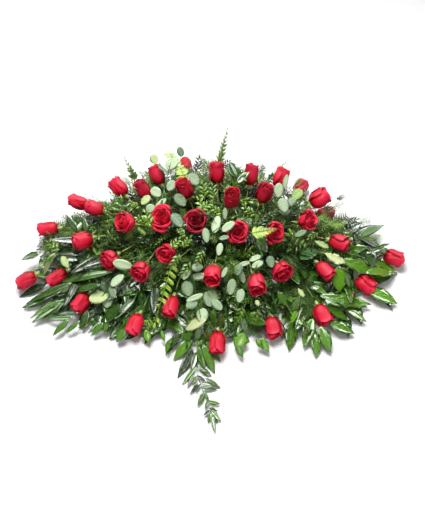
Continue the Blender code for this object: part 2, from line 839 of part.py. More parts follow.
def stem_cutter(path, radius):
    """What a stem takes out of the foam: its own path as far as it is in the block, a little wider."""
    reach = foam_exit(path)
    count, length = 2, (path[1] - path[0]).length
    while length < reach and count < len(path):
        length += (path[count] - path[count - 1]).length
        count += 1
    return tube(path[:count], [radius + 3 * STEM_PLAY] * count, 3)


def path_length(path):
    return sum((b - a).length for a, b in zip(path, path[1:]))


def spot_on(path, share):
    """The point and the direction at a share of a path's length."""
    rest = share * path_length(path)
    for a, b in zip(path, path[1:]):
        piece = (b - a).length
        if rest <= piece:
            return a + (b - a) * (rest / piece), (b - a).normalized()
        rest -= piece
    return path[-1], (path[-1] - path[-2]).normalized()


def free_of(shell, trees):
    """Whether a shell crosses none of the trees of its own node's pieces."""
    tree = tree_of(shell)
    return not any(tree.overlap(other) for other in trees)


def leaf_shell(leaf, spot, heading, facing, length, width, thick):
    """A leaf of this kind: large ones are blades with two stations and small ones are kites."""
    make = kite if leaf.small else blade
    return make(spot, heading, facing, length, width, arch=leaf.arch, thick=thick)


class Sprout(NamedTuple):
    """A leaf or twig out of one side of a stem: the loops of points that it passes through, and its tip.

    A flat one faces along the stem, and so its edges leave the stem's own edges.
    """

    loops: list
    tip: Vector
    flat: bool = False


class Node(NamedTuple):
    """Where leaves leave a stem: how far along it, the foot's length, the stem's ridge there, and they."""

    place: float
    foot: float
    ridge: Vector
    left: Sprout = None
    right: Sprout = None
    under: Sprout = None


def leaf_sprout(spot, heading, across, facing, leaf, length, width, flat):
    """A leaf as loops of four points: above its midrib, far edge, below its midrib, near edge."""
    stations = ((0.42, 1.0),) if leaf.small else LEAF_STATIONS
    loops = []
    for share, spread in stations:
        middle = spot + heading * (length * share) - facing * (leaf.arch * length * share**2)
        reach = width / 2 * spread
        fold = facing * (LEAF_FOLD * reach)
        half = facing * (LEAF_THICKNESS / 2)
        far, near = middle + across * reach + fold, middle - across * reach + fold
        loops.append([middle + half, far, middle - half, near])
    return Sprout(loops, spot + heading * length - facing * (leaf.arch * length), flat)


def clear_sprout(trees, spot, along, side, ridge, angle, leaf, size=1.0, flat=False):
    """A leaf to one side of its stem, rolled and bent to the first place that is clear, or else None."""
    for shrink, (roll, bend) in itertools.product(LEAF_SHRINKS, LEAF_TURNS):
        length, width = leaf.length * size * shrink, leaf.width * size * shrink
        turn = math.radians(roll)
        outward = side * math.cos(turn) + ridge * math.sin(turn)
        lean = angle + math.radians(bend)
        heading = (along * math.cos(lean) + outward * math.sin(lean)).normalized()
        if flat:
            across = -ridge
        else:
            across = along if angle else outward
        across = (across - heading * across.dot(heading)).normalized()
        facing = heading.cross(across)
        if facing.dot(along if flat else ridge) < 0:
            facing = -facing
        larger = leaf_shell(leaf, spot, heading, facing, length + 0.001, width + 0.001, CLEAR_THICKNESS)
        beyond = spot + heading * (0.2 * length)
        outer = leaf_shell(leaf, beyond, heading, facing, 0.8 * length, width, CLEAR_THICKNESS)
        if is_clear(larger) and free_of(outer, trees):
            trees.append(tree_of(outer))
            return leaf_sprout(spot, heading, across, facing, leaf, length, width, flat)
    return None


class Growth:
    """A three-sided stem with its leaves as one closed shell, grown ring by ring."""

    def __init__(self, path, radii):
        self.path = path
        self.total = path_length(path)
        self.radii = radii
        self.points = []
        self.faces = []
        self.ring = None
        self.ridge = None

    def add_ring(self, place, ridge=None):
        """Adds three points round the stem and returns the last ring, turned to match this one."""
        spot, along = spot_on(self.path, min(place / self.total, 1.0))
        up, side = around(along, ridge or self.ridge or Vector((0.0, 0.0, 1.0)))
        radius = self.radii[0] + (self.radii[1] - self.radii[0]) * place / self.total
        before = self.ring
        if before is not None:
            old_turn = math.atan2(-self.ridge.dot(side), self.ridge.dot(up))
            shift = round(-old_turn / (math.tau / 3))
            before = [before[(k + shift) % 3] for k in range(3)]
        self.ring = list(range(len(self.points), len(self.points) + 3))
        for k in range(3):
            angle = math.tau * k / 3
            self.points.append(spot + (up * math.cos(angle) - side * math.sin(angle)) * radius)
        self.ridge = up
        return before

    def sew(self, near, far):
        """Joins two loops of four points by triangles."""
        for k in range(4):
            after = (k + 1) % 4
            self.faces += [(near[k], near[after], far[k]), (near[after], far[after], far[k])]

    def close(self, corners, tip):
        """Joins a loop to a tip."""
        self.points.append(tip)
        for k, corner in enumerate(corners):
            self.faces.append((corner, corners[(k + 1) % len(corners)], len(self.points) - 1))

    def add_sprout(self, corners, sprout):
        """Grows a sprout out of the four corners of a foot: upper two first, then the lower two."""
        if sprout.flat:
            corners = corners[1:] + corners[:1]
        for loop in sprout.loops:
            ids = list(range(len(self.points), len(self.points) + 4))
            self.points += loop
            self.sew(corners, ids)
            corners = ids
        self.close(corners, sprout.tip)

    def add_segment(self, before, left=None, right=None, under=None):
        """Joins the last two rings, with what grows from each side of the stem there."""
        after = self.ring
        for sprout, i, j in ((left, 0, 1), (right, 0, 2), (under, 1, 2)):
            corners = [before[i], after[i], after[j], before[j]]
            if sprout:
                self.add_sprout(corners, sprout)
            else:
                self.faces += [(corners[0], corners[1], corners[2]), (corners[0], corners[2], corners[3])]

    def add_ending(self, ending):
        """Ends the stem in a leaf or in a blunt point."""
        if ending is None:
            self.close(self.ring, self.path[-1] + (self.path[-1] - self.path[-2]).normalized() * BLUNT_END)
            return
        top, left, right = self.ring
        above, right_edge, below, left_edge = range(len(self.points), len(self.points) + 4)
        self.points += ending.loops[0]
        self.faces += [(top, above, left_edge), (top, left_edge, left), (left, left_edge, below)]
        self.faces += [(left, below, right), (right, below, right_edge)]
        self.faces += [(right, right_edge, top), (top, right_edge, above)]
        corners = [above, right_edge, below, left_edge]
        for loop in ending.loops[1:]:
            ids = list(range(len(self.points), len(self.points) + 4))
            self.points += loop
            self.sew(corners, ids)
            corners = ids
        self.close(corners, ending.tip)


def grown(path, radii, nodes, ending=None):
    """A stem with what grows from its nodes, as one closed shell."""
    stem = Growth(path, radii)
    stem.add_ring(0.0)
    stem.faces.append(tuple(stem.ring))
    mark = 0.0
    stops = []
    for a, b in zip(path[:-1], path[1:-1]):
        mark += (b - a).length
        if all(not (node.place - 0.002 < mark < node.place + node.foot + 0.002) for node in nodes):
            stops.append((mark, None))
    stops += [(node.place, node) for node in nodes]
    stops.sort(key=lambda stop: stop[0])
    for place, node in stops:
        before = stem.add_ring(place, node.ridge if node else None)
        stem.add_segment(before)
        if node:
            before = stem.add_ring(place + node.foot, node.ridge)
            stem.add_segment(before, node.left, node.right, node.under)
    stem.add_segment(stem.add_ring(stem.total))
    stem.add_ending(ending)
    return Shell(stem.points, stem.faces)


def crossing_spots(shell):
    """Where a shell crosses itself or a solid that has its place."""
    tree = tree_of(shell)
    found = [a for a, b in tree.overlap(tree) if a < b and not set(shell.faces[a]) & set(shell.faces[b])]
    for other in occupied:
        found += [a for a, _ in tree.overlap(other)]
    spots = []
    for face in found:
        corners = [shell.points[k] for k in shell.faces[face]]
        spots.append(sum(corners, Vector()) / len(corners))
    return spots


def grown_clean(path, radii, nodes, ending=None):
    """A grown stem without the leaves at which it would cross itself or another solid."""
    total = path_length(path)
    while True:
        shell = grown(path, radii, nodes, ending)
        spots = crossing_spots(shell)
        if not spots or not (nodes or ending):
            return shell
        feet = [spot_on(path, node.place / total)[0] for node in nodes]
        if ending:
            feet.append(path[-1])
        nearness = [min((foot - spot).length for spot in spots) for foot in feet]
        worst = nearness.index(min(nearness))
        if worst == len(nodes):
            ending = None
        else:
            nodes = nodes[:worst] + nodes[worst + 1 :]


def leafy_stem(trees, path, start, leaf, draw, radius=GREENS_STEM_RADIUS):
    """A stem with leaves in pairs from a length on, and one at its end. Steep stems hold them out flat."""
    total = path_length(path)
    start = min(start, total - 0.03)
    spot, along = spot_on(path, 1.0)
    up, side = around(along)
    ending = clear_sprout(trees, spot, along, side, up, 0.0, leaf, 0.85)
    count = max(2, round((total - start - 0.006) / leaf.pitch))
    nodes = []
    for k in range(count):
        place = start + (total - 0.006 - start) * k / count
        spot, along = spot_on(path, (place + LEAF_FOOT / 2) / total)
        up, side = around(along)
        flat = abs(along.z) > STEEP
        if flat and k % 2:
            up, side = side, -up
        kind = leaf if k > FULL_FORM * count else leaf._replace(small=True)
        pair = []
        for sign in (-1, 1):
            angle = FLAT_LEAN if flat else leaf.lean + draw.uniform(-0.08, 0.12)
            size = draw.uniform(0.82, 1.05)
            pair.append(clear_sprout(trees, spot, along, side * sign, up, angle, kind, size, flat))
        if any(pair):
            nodes.append(Node(place, LEAF_FOOT, up, pair[0], pair[1]))
    return grown_clean(path, (radius, radius * 0.6), nodes, ending)


def clear_twig(trees, spot, along, side, up, reach, lean, room, draw):
    """A fine twig to one side of its rib, raised or lowered to where it is clear, or None."""
    for lift in (0.0, 0.35, -0.35, 0.8):
        outward = (side + up * (lift + draw.uniform(-0.2, 0.2))).normalized()
        heading = (along * lean + outward).normalized()
        outer = needle(spot + heading * 0.006, heading, reach - 0.005, 0.0012)
        if is_clear(needle(spot, heading, reach + 0.001, room)) and free_of(outer, trees):
            trees.append(tree_of(outer))
            return Sprout([], spot + heading * reach)
    return None


def feathery_stem(trees, path, start, twig, pitch, draw, foot=0.0022, lean=0.8, radius=GREENS_STEM_RADIUS):
    """A slim rib with fine twigs in pairs, shorter towards its tip."""
    total = path_length(path)
    start = min(start, total - 0.03)
    count = max(4, round((total - start) / pitch))
    nodes = []
    for k in range(count):
        place = start + (total - start - 0.002) * k / count
        spot, along = spot_on(path, (place + foot / 2) / total)
        up, side = around(along)
        reach = twig * (1.0 - 0.55 * (k / count) ** 1.5)
        room = max(0.0020, 0.75 * foot)
        left, right = (
            clear_twig(trees, spot, along, side * sign, up, reach, lean, room, draw) for sign in (-1, 1)
        )
        if left or right:
            nodes.append(Node(place, foot, up, left, right))
    return grown_clean(path, (radius, radius * 0.4), nodes)


def low_route(root, end, rise):
    """A route that clears the tray's wall and comes down to the table towards its end."""
    level = Vector((end.x - root.x, end.y - root.y, 0.0))
    reach = level.length
    level.normalize()

    def route(first, second):
        leave = level * (0.35 * reach) + Vector((0.0, 0.0, rise)) + first
        arrive = level * (0.35 * reach) - Vector((0.0, 0.0, 0.012)) + second
        return eased(root, end, leave, arrive, 4)

    return route


def fill_route(root, end):
    """A route up through the middle that leans outward near its end."""
    ray = end - root
    outward = Vector((ray.x, ray.y, 0.0)).normalized()

    def route(first, second):
        leave = ray * 0.4 + first
        arrive = ray * 0.28 + outward * (0.10 * ray.length) + second
        return eased(root, end, leave, arrive, 4)

    return route


def on_level(px, py, height):
    """The point at this height that is seen at this place in the picture."""
    eye, ray = line_of_sight(px, py)
    return eye + ray * ((height - eye.z) / ray.z)


def nearest_rod(end):
    """The name of the share of greens whose rod is nearest below this place."""

    def distance(name):
        first, last = GREENS_RODS[name]
        middle = (first + last) / 2
        beyond = max(abs(end.x - middle.x) - abs(last.x - first.x) / 2, 0.0)
        return math.hypot(beyond, (end.y - middle.y) * 0.7)

    return min(GREENS_RODS, key=distance)


def fill_points():
    """Where the upright stems end and their kinds, by share: rows over the dome, under the blooms."""
    shares = {name: [] for name in GREENS}
    number = 0
    for degrees, offset in FILL_ROWS:
        for column in range(-FILL_COLUMNS, FILL_COLUMNS + 1):
            x = column * FILL_PITCH + offset
            if abs(x) > FILL_SPAN:
                continue
            ring = (1 - (abs(x) / DOME_LENGTH) ** DOME_POINT) ** (1 / DOME_POINT) * FILL_DEPTH
            turn = math.radians(degrees)
            end = Vector((x, -DOME_DEPTH * ring * math.cos(turn), DOME_HEIGHT * ring * math.sin(turn)))
            if end.z < 0.03:
                continue
            name = nearest_rod(end)
            if abs(end.y) < COVER_REACH:
                kind = COVER
            else:
                kind = "fern" if number % FERN_EVERY == 1 else SALAL
                number += 1
            shares[name].append((end, kind))
    return shares


def low_end(branch, root):
    """Where a low branch's stem ends, so that its last leaf's tip comes to its place in the picture."""
    tip = on_level(branch.px, branch.py, branch.height)
    leaf = 0.0 if branch.kind == "wisp" else 0.8 * branch.kind.length
    end = tip - Vector((tip.x - root.x, tip.y - root.y, 0.0)).normalized() * leaf
    end.z = branch.height + 0.006
    return end


def build_greens(name, fill, draw):
    """One share of the greens: its low branches and its upright stems, joined at their roots."""
    ends = GREENS_RODS[name]
    middle = (ends[0] + ends[1]) / 2
    low = [(low_end(branch, middle), branch.kind, True) for branch in GREENS[name]]
    upright = [(end, kind, False) for end, kind in fill]
    stems = low + upright
    shells, cutters = [rod(ends)], [rod(ends, ROD_ROOM)]
    found = []
    for root, (end, kind, is_low) in zip(rod_spots(ends, [stem[0] for stem in stems]), stems):
        route = low_route(root, end, 0.022) if is_low else fill_route(root, end)
        path = clear_path(route, draw)
        # A stem that finds no room is left out.
        if path:
            found.append((path, kind, is_low))
    trees = [tree_of(tube(path, [GREENS_STEM_RADIUS] * len(path), 3)) for path, _, _ in found]
    for path, kind, is_low in found:
        cutters.append(stem_cutter(path, GREENS_STEM_RADIUS))
        start = max(foam_exit(path), LOW_BARE + LOW_SHARE * path_length(path) if is_low else 0.0)
        if kind == "wisp":
            shells.append(feathery_stem(trees, path, start, WISP_TWIG, FERN_PITCH, draw))
        elif kind == "fern":
            shells.append(feathery_stem(trees, path, start, FERN_TWIG, FERN_PITCH, draw))
        else:
            shells.append(leafy_stem(trees, path, start, kind, draw))
    made = fused(name, shells, "leaf_green")
    occupy(made)
    return cutters


def build_silver(side, draw):
    """The eucalyptus twigs of one side: round leaves in loose pairs along thin stems."""
    ends = SILVER_RODS[side]
    shells, trees = [rod(ends)], []
    cutters = [rod(ends, ROD_ROOM)]
    twigs = [twig for twig in SILVER_TWIGS if twig.side == side]
    for root, twig in zip(rod_spots(ends, [on_dome(*twig.start) for twig in twigs]), twigs):
        start, end = on_dome(*twig.start), on_dome(*twig.end, swell=1.12)

        def route(first, second, root=root, start=start, end=end):
            inner = root + (start - root) * 0.55 + first
            return [root, inner, start + second * 0.5, start + (end - start) * 0.5 + second * 0.3, end]

        path = clear_path(route, draw, radius=SILVER_STEM_RADIUS)
        cutters.append(stem_cutter(path, SILVER_STEM_RADIUS))
        shells.append(tube(path, [SILVER_STEM_RADIUS * share for share in (1.0, 1.0, 0.9, 0.8, 0.6)], 3))
        outer = path[2:]
        for k in range(twig.leaves):
            spot, along = spot_on(outer, (k + 0.6) / (twig.leaves + 0.2))
            face, cross = around(along)
            cross = cross if k % 2 else -cross
            size = twig.size * draw.uniform(0.85, 1.12)
            for roll in (0, 25, -25, 50, -50, 80, -80, 120, 160):
                turn = math.radians(roll + draw.uniform(-12, 12))
                across = cross * math.cos(turn) + face * math.sin(turn)
                heading = (along * 0.35 + across).normalized()
                facing = along.cross(across) * (1 if k % 2 else -1) + Vector((0.0, -0.4, 0.4))
                beyond = spot + heading * (0.2 * size)
                outer_part = coin(beyond, heading, facing, size * 0.8, thick=CLEAR_THICKNESS)
                larger = coin(spot, heading, facing, size + 0.001, thick=CLEAR_THICKNESS)
                if is_clear(larger) and free_of(outer_part, trees):
                    shells.append(coin(spot, heading, facing, size))
                    trees.append(tree_of(outer_part))
                    break
    made = fused(f"eucalyptus_{side}", shells, "silver_green")
    occupy(made)
    return cutters


def build_fern_tips(draw):
    """The yellow-green sword-fern tips: narrow leaflets in close pairs along a rib."""
    shells = [rod(FERN_TIP_ROD)]
    cutters = [rod(FERN_TIP_ROD, ROD_ROOM)]
    starts = [on_dome(*start_px, swell=0.98) for start_px, _ in FERN_TIPS]
    for root, start, (_, end_px) in zip(rod_spots(FERN_TIP_ROD, starts), starts, FERN_TIPS):
        end = on_dome(*end_px, swell=1.14)

        def route(first, second, root=root, start=start, end=end):
            inner = root + (start - root) * 0.5 + first
            return [root, inner, start + second * 0.6, (start + end) / 2 + second * 0.3, end]

        path = clear_path(route, draw, radius=TIP_STEM_RADIUS)
        cutters.append(stem_cutter(path, TIP_STEM_RADIUS))
        bare = path_length(path[:3])
        pitch = max(0.0085, (path_length(path) - bare) / 10)
        form = {"foot": 0.8 * pitch, "lean": 0.45, "radius": TIP_STEM_RADIUS}
        shells.append(feathery_stem([], path, bare, TIP_LEAFLET, pitch, draw, **form))
    made = fused("sword_fern_tips", shells, "tip_green")
    occupy(made)
    return cutters


def build_myrtle(draw):
    """The upright myrtle spikes: small pointed leaves all round a straight stem."""
    shells = [rod(MYRTLE_ROD)]
    cutters = [rod(MYRTLE_ROD, ROD_ROOM)]
    starts = [on_dome(*start_px, behind=True) for start_px, _ in MYRTLE_SPIKES]
    for root, start, (_, end_px) in zip(rod_spots(MYRTLE_ROD, starts), starts, MYRTLE_SPIKES):
        eye, ray = line_of_sight(*end_px)
        rise = Vector((0.0, 0.30, 0.95))
        end = eye + ray * ((start + rise * 0.10 - eye).dot(ray))

        def route(first, second, root=root, start=start, end=end):
            inner = root + (start - root) * 0.5 + first
            return [root, inner, start + second * 0.6, end]

        path = clear_path(route, draw, radius=TIP_STEM_RADIUS)
        cutters.append(stem_cutter(path, TIP_STEM_RADIUS))
        bare = path_length(path[:3])
        form = {"foot": 0.005, "lean": 1.0, "radius": TIP_STEM_RADIUS}
        shells.append(feathery_stem([], path, bare, MYRTLE_LEAF, MYRTLE_PITCH, draw, **form))
    made = fused("myrtle_spikes", shells, "spike_green")
    occupy(made)
    return cutters


def build_trail(draw):
    """The trailing ruscus that runs forward over the edge, laid along the surface."""
    shells, cutters, found = [rod(TRAIL_ROD)], [rod(TRAIL_ROD, ROD_ROOM)], []
    lines = [(TRAIL_PATH, TRAILING, 0.30), *((side, RUSCUS, 0.24) for side in TRAIL_SIDES)]
    roots = rod_spots(TRAIL_ROD, [on_level(*line[0], 0.0) for line, _, _ in lines])
    for root, (line, leaf, start) in zip(roots, lines):
        places = [on_level(px, py, TRAIL_HEIGHT) for px, py in line]
        places[0].z += 0.018

        def route(first, second, root=root, places=places):
            inner = root + (places[0] - root) * 0.5 + first + Vector((0.0, 0.0, 0.012))
            return [root, inner, places[0] + second * 0.5, *places[1:]]

        path = clear_path(route, draw, radius=TRAIL_STEM_RADIUS)
        found.append((path, leaf, start))
    trees = [tree_of(tube(path, [TRAIL_STEM_RADIUS] * len(path), 3)) for path, _, _ in found]
    for path, leaf, start in found:
        cutters.append(stem_cutter(path, TRAIL_STEM_RADIUS))
        shells.append(leafy_stem(trees, path, start, leaf, draw, radius=TRAIL_STEM_RADIUS))
    made = fused("trailing_ruscus", shells, "leaf_green")
    occupy(made)
    return cutters


def main():
    for leftover in list(bpy.data.objects):
        bpy.data.objects.remove(leftover)
    draw = random.Random(SEED)
    tray = build_tray()
    tapes = [build_tape("tape_left", -TAPE_PLACE), build_tape("tape_right", TAPE_PLACE)]
    for solid in [tray, *tapes]:
        occupy(solid)
    block = applied(rounded_box("foam", FOAM_SIZE, TRAY_FLOOR + GAP, FOAM_ROUNDING, "foam_green"))
    foam_place.append(tree_of_object(block))
    cutters = build_roses(draw)
    for side in SILVER_RODS:
        cutters += build_silver(side, draw)
    cutters += build_fern_tips(draw)
    cutters += build_myrtle(draw)
    cutters += build_trail(draw)
    fill = fill_points()
    for name in GREENS:
        cutters += build_greens(name, fill[name], draw)
    combine(block, cutters, "DIFFERENCE")
    keep_main_body(block)


main()
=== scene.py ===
"""A casket spray of red roses and mixed greenery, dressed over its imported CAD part."""

import logging
import math
import random
from dataclasses import dataclass, field, replace
from enum import Enum

import bmesh
import bpy
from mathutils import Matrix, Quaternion, Vector


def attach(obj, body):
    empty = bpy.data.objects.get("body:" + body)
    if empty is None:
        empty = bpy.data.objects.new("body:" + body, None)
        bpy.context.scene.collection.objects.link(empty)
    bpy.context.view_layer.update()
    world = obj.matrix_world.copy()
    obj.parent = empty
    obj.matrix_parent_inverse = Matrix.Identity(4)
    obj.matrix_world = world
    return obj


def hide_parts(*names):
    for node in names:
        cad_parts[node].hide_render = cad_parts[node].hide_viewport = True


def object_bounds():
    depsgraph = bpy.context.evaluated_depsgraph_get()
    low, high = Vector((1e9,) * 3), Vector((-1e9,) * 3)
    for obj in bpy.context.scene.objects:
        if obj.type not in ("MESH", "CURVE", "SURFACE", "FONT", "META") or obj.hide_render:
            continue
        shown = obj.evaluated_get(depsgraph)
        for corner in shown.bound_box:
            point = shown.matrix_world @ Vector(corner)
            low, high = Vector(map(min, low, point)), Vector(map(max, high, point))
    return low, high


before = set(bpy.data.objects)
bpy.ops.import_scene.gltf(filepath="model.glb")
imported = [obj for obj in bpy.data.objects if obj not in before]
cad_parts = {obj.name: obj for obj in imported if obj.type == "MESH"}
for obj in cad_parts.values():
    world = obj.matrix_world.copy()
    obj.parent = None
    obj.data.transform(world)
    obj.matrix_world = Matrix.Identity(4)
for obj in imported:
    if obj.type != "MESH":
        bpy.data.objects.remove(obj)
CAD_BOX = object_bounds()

logging.basicConfig(level=logging.INFO, format="%(message)s")
log = logging.getLogger("casket_spray")

SEED = 1907
MATH = "ShaderNodeMath"
VECTOR = "ShaderNodeVectorMath"
UP = Vector((0.0, 0.0, 1.0))
# Steps that turn petals and blooms, and spread stems along and round the mound, without rows or repeats.
PETAL_TURN = math.radians(137.5)
BLOOM_TURN = 2.4
SPREAD_STEPS = (0.7548776662, 0.5698402910)
# How near a moved corner may come to the CAD model's box, and over what depth it is eased back.
EDGE_ROOM = 0.0004
EDGE_EASE = 0.003

# How full each rose stands open, in the order of its node's number.
OPENNESS = (
    0.15, 0.10, 0.15, 0.30, 0.20, 0.20, 0.20, 0.40, 0.20, 0.20, 0.20, 0.30, 0.10, 0.20,
    0.20, 0.20, 0.30, 0.20, 0.30, 0.80, 1.00, 0.90, 0.90, 0.80, 0.30, 0.30, 0.20, 0.20,
    0.70, 0.30, 0.30, 0.80, 0.90, 0.50, 0.20, 0.00, 0.20, 0.20, 0.20, 0.10, 0.30, 0.20,
)
# How bright each rose's red is, 0 for the darkest.
TONES = (
    0.40, 0.50, 0.30, 0.60, 0.60, 0.90, 0.80, 0.75, 0.25, 0.45, 0.40, 0.50, 0.60, 0.10,
    0.75, 0.80, 0.65, 0.80, 0.80, 0.85, 1.00, 0.05, 0.90, 0.80, 0.60, 0.85, 1.00, 0.65,
    0.75, 0.85, 0.95, 0.80, 0.70, 0.70, 0.60, 0.65, 0.75, 0.95, 0.70, 0.90, 0.70, 0.90,
)


# Small tools


def linear(colour: str) -> tuple[float, float, float, float]:
    """Turns an sRGB hex colour to a linear one.

    Args:
        colour: Six hex digits, such as "c01822".

    Returns:
        Red, green, blue and alpha in linear light.
    """
    parts = [int(colour[k : k + 2], 16) / 255 for k in (0, 2, 4)]
    levels = [part / 12.92 if part <= 0.04045 else ((part + 0.055) / 1.055) ** 2.4 for part in parts]
    return (*levels, 1.0)


def add_node(tree: bpy.types.NodeTree, kind: str, inputs: dict | tuple = (), **settings: object) -> bpy.types.Node:
    """Adds a node with its settings and links.

    Args:
        tree: The node tree that gets it.
        kind: The node's type name.
        inputs: A value or the socket that feeds it, by socket name or number, or in the sockets' order.
        settings: Properties of the node.

    Returns:
        The new node.
    """
    node = tree.nodes.new(kind)
    for name, value in settings.items():
        setattr(node, name, value)
    for key, value in inputs.items() if isinstance(inputs, dict) else enumerate(inputs):
        socket = node.inputs[key]
        if isinstance(value, bpy.types.NodeSocket):
            tree.links.new(value, socket)
        else:
            socket.default_value = value
    return node


def around(direction: Vector, hint: Vector = UP) -> tuple[Vector, Vector]:
    """Gives two unit vectors across a direction.

    Args:
        direction: The direction.
        hint: Where the first of them should lean.

    Returns:
        The vector nearest to the hint, and the one square to it.
    """
    direction = direction.normalized()
    up = hint - direction * hint.dot(direction)
    if up.length < 1e-3:
        up = direction.orthogonal()
    up.normalize()
    return up, direction.cross(up)


def spoke_at(up: Vector, side: Vector, turn: float) -> Vector:
    """Returns the unit vector at an angle from one vector to the other."""
    return up * math.cos(turn) + side * math.sin(turn)


def kept(value: float, low: float, high: float) -> float:
    """Returns the value, or the end of the range that it lies past."""
    return max(low, min(high, value))


def new_object(name: str, points: list[Vector], faces: list[tuple], edges: list[tuple] = ()) -> bpy.types.Object:
    """Makes a mesh object in the scene.

    Args:
        name: The object's name.
        points: Its corners.
        faces: Its faces, as corner numbers.
        edges: Loose edges, as corner numbers.

    Returns:
        The object.
    """
    mesh = bpy.data.meshes.new(name)
    mesh.from_pydata([tuple(point) for point in points], list(edges), faces)
    mesh.update()
    made = bpy.data.objects.new(name, mesh)
    bpy.context.scene.collection.objects.link(made)
    return made


def store(mesh: bpy.types.Mesh, name: str, kind: str, values: list) -> None:
    """Stores one value for each corner of a mesh.

    Args:
        mesh: The mesh.
        name: The attribute's name.
        kind: FLOAT or FLOAT_VECTOR.
        values: A number or a vector for each corner.
    """
    layer = mesh.attributes.new(name, kind, "POINT")
    if kind == "FLOAT":
        layer.data.foreach_set("value", values)
    else:
        layer.data.foreach_set("vector", [part for value in values for part in value])


def thick_sheet(grid: list[list[Vector]], thickness: float) -> tuple[list[Vector], list[tuple]]:
    """Turns a grid of points to a thin closed sheet.

    Args:
        grid: Rows of points.
        thickness: How thick the sheet is, laid behind the grid.

    Returns:
        The corners, front rows first and then back rows, and the faces.
    """
    rows, columns = len(grid), len(grid[0])
    points, back = [], []
    for i in range(rows):
        for j in range(columns):
            down = grid[min(i + 1, rows - 1)][j] - grid[max(i - 1, 0)][j]
            across = grid[i][min(j + 1, columns - 1)] - grid[i][max(j - 1, 0)]
            normal = across.cross(down)
            points.append(grid[i][j])
            back.append(grid[i][j] - normal.normalized() * thickness)
    count = rows * columns
    faces = []
    for i in range(rows - 1):
        for j in range(columns - 1):
            a = i * columns + j
            faces.append((a, a + 1, a + columns + 1, a + columns))
            faces.append((a + count, a + columns + count, a + columns + 1 + count, a + 1 + count))
    rim = [(0, j) for j in range(columns)] + [(i, columns - 1) for i in range(1, rows)]
    rim += [(rows - 1, j) for j in range(columns - 2, -1, -1)] + [(i, 0) for i in range(rows - 2, 0, -1)]
    ids = [i * columns + j for i, j in rim]
    for a, b in zip(ids, ids[1:] + ids[:1]):
        faces.append((b, a, a + count, b + count))
    return points + back, faces


def plain_mesh(source: bpy.types.Object, name: str) -> bpy.types.Object:
    """Turns an object with live modifiers to a plain mesh of its own, inside the CAD model's box.

    Args:
        source: The object, which is removed.
        name: The new object's name.

    Returns:
        The plain mesh object.
    """
    graph = bpy.context.evaluated_depsgraph_get()
    mesh = bpy.data.meshes.new_from_object(source.evaluated_get(graph), preserve_all_data_layers=True, depsgraph=graph)
    for unneeded in ("heading", "facing", "size"):
        if unneeded in mesh.attributes:
            mesh.attributes.remove(mesh.attributes[unneeded])
    bpy.data.objects.remove(source)
    for vertex in mesh.vertices:
        vertex.co = [held(vertex.co[k], CAD_BOX[0][k], CAD_BOX[1][k]) for k in range(3)]
    made = bpy.data.objects.new(name, mesh)
    bpy.context.scene.collection.objects.link(made)
    return made


def held(value: float, low: float, high: float) -> float:
    """Bends a coordinate back inside the CAD model's box, and keeps the order of what lies on top of what.

    Args:
        value: The coordinate.
        low: The box's lower side.
        high: The box's upper side.

    Returns:
        The coordinate inside the box.
    """
    for side, sign in ((low, 1.0), (high, -1.0)):
        room = (value - side) * sign - EDGE_ROOM
        if room < EDGE_EASE:
            value = side + sign * (EDGE_ROOM + EDGE_EASE * math.exp(room / EDGE_EASE - 1.0))
    return value


def joined(name: str, parts: list[bpy.types.Object]) -> bpy.types.Object:
    """Joins plain mesh objects to one piece, smoothly shaded.

    Args:
        name: The piece's name.
        parts: The objects, which are used up.

    Returns:
        The piece.
    """
    with bpy.context.temp_override(active_object=parts[0], selected_editable_objects=parts, object=parts[0]):
        bpy.ops.object.join()
    made = parts[0]
    made.name = name
    made.data.name = name
    made.data.shade_smooth()
    return made


def hand_over(piece: bpy.types.Object, slot: str, *nodes: str) -> None:
    """Gives a finished piece to the frame.

    Args:
        piece: The piece.
        slot: The record's material slot; not used.
        nodes: The CAD nodes that it stands for.
    """
    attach(piece, "root")
    if nodes:
        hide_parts(*nodes)
    triangles = sum(len(face.vertices) - 2 for face in piece.data.polygons)
    log.info("%s: %d triangles", piece.name, triangles)


def finished(name: str, parts: list[bpy.types.Object], slot: str, *nodes: str) -> bpy.types.Object:
    """Joins parts to one piece and hands it over.

    Args:
        name: The piece's name.
        parts: Its parts, which are used up.
        slot: The record's material slot; not used.
        nodes: The CAD nodes that it stands for.

    Returns:
        The piece.
    """
    piece = joined(name, parts)
    hand_over(piece, slot, *nodes)
    return piece


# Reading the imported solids


@dataclass(frozen=True)
class LeafPlace:
    """Where a leaf of the CAD model is, and how large."""

    root: Vector
    heading: Vector
    facing: Vector
    length: float
    width: float
    small: bool = False
    tint: float | None = None


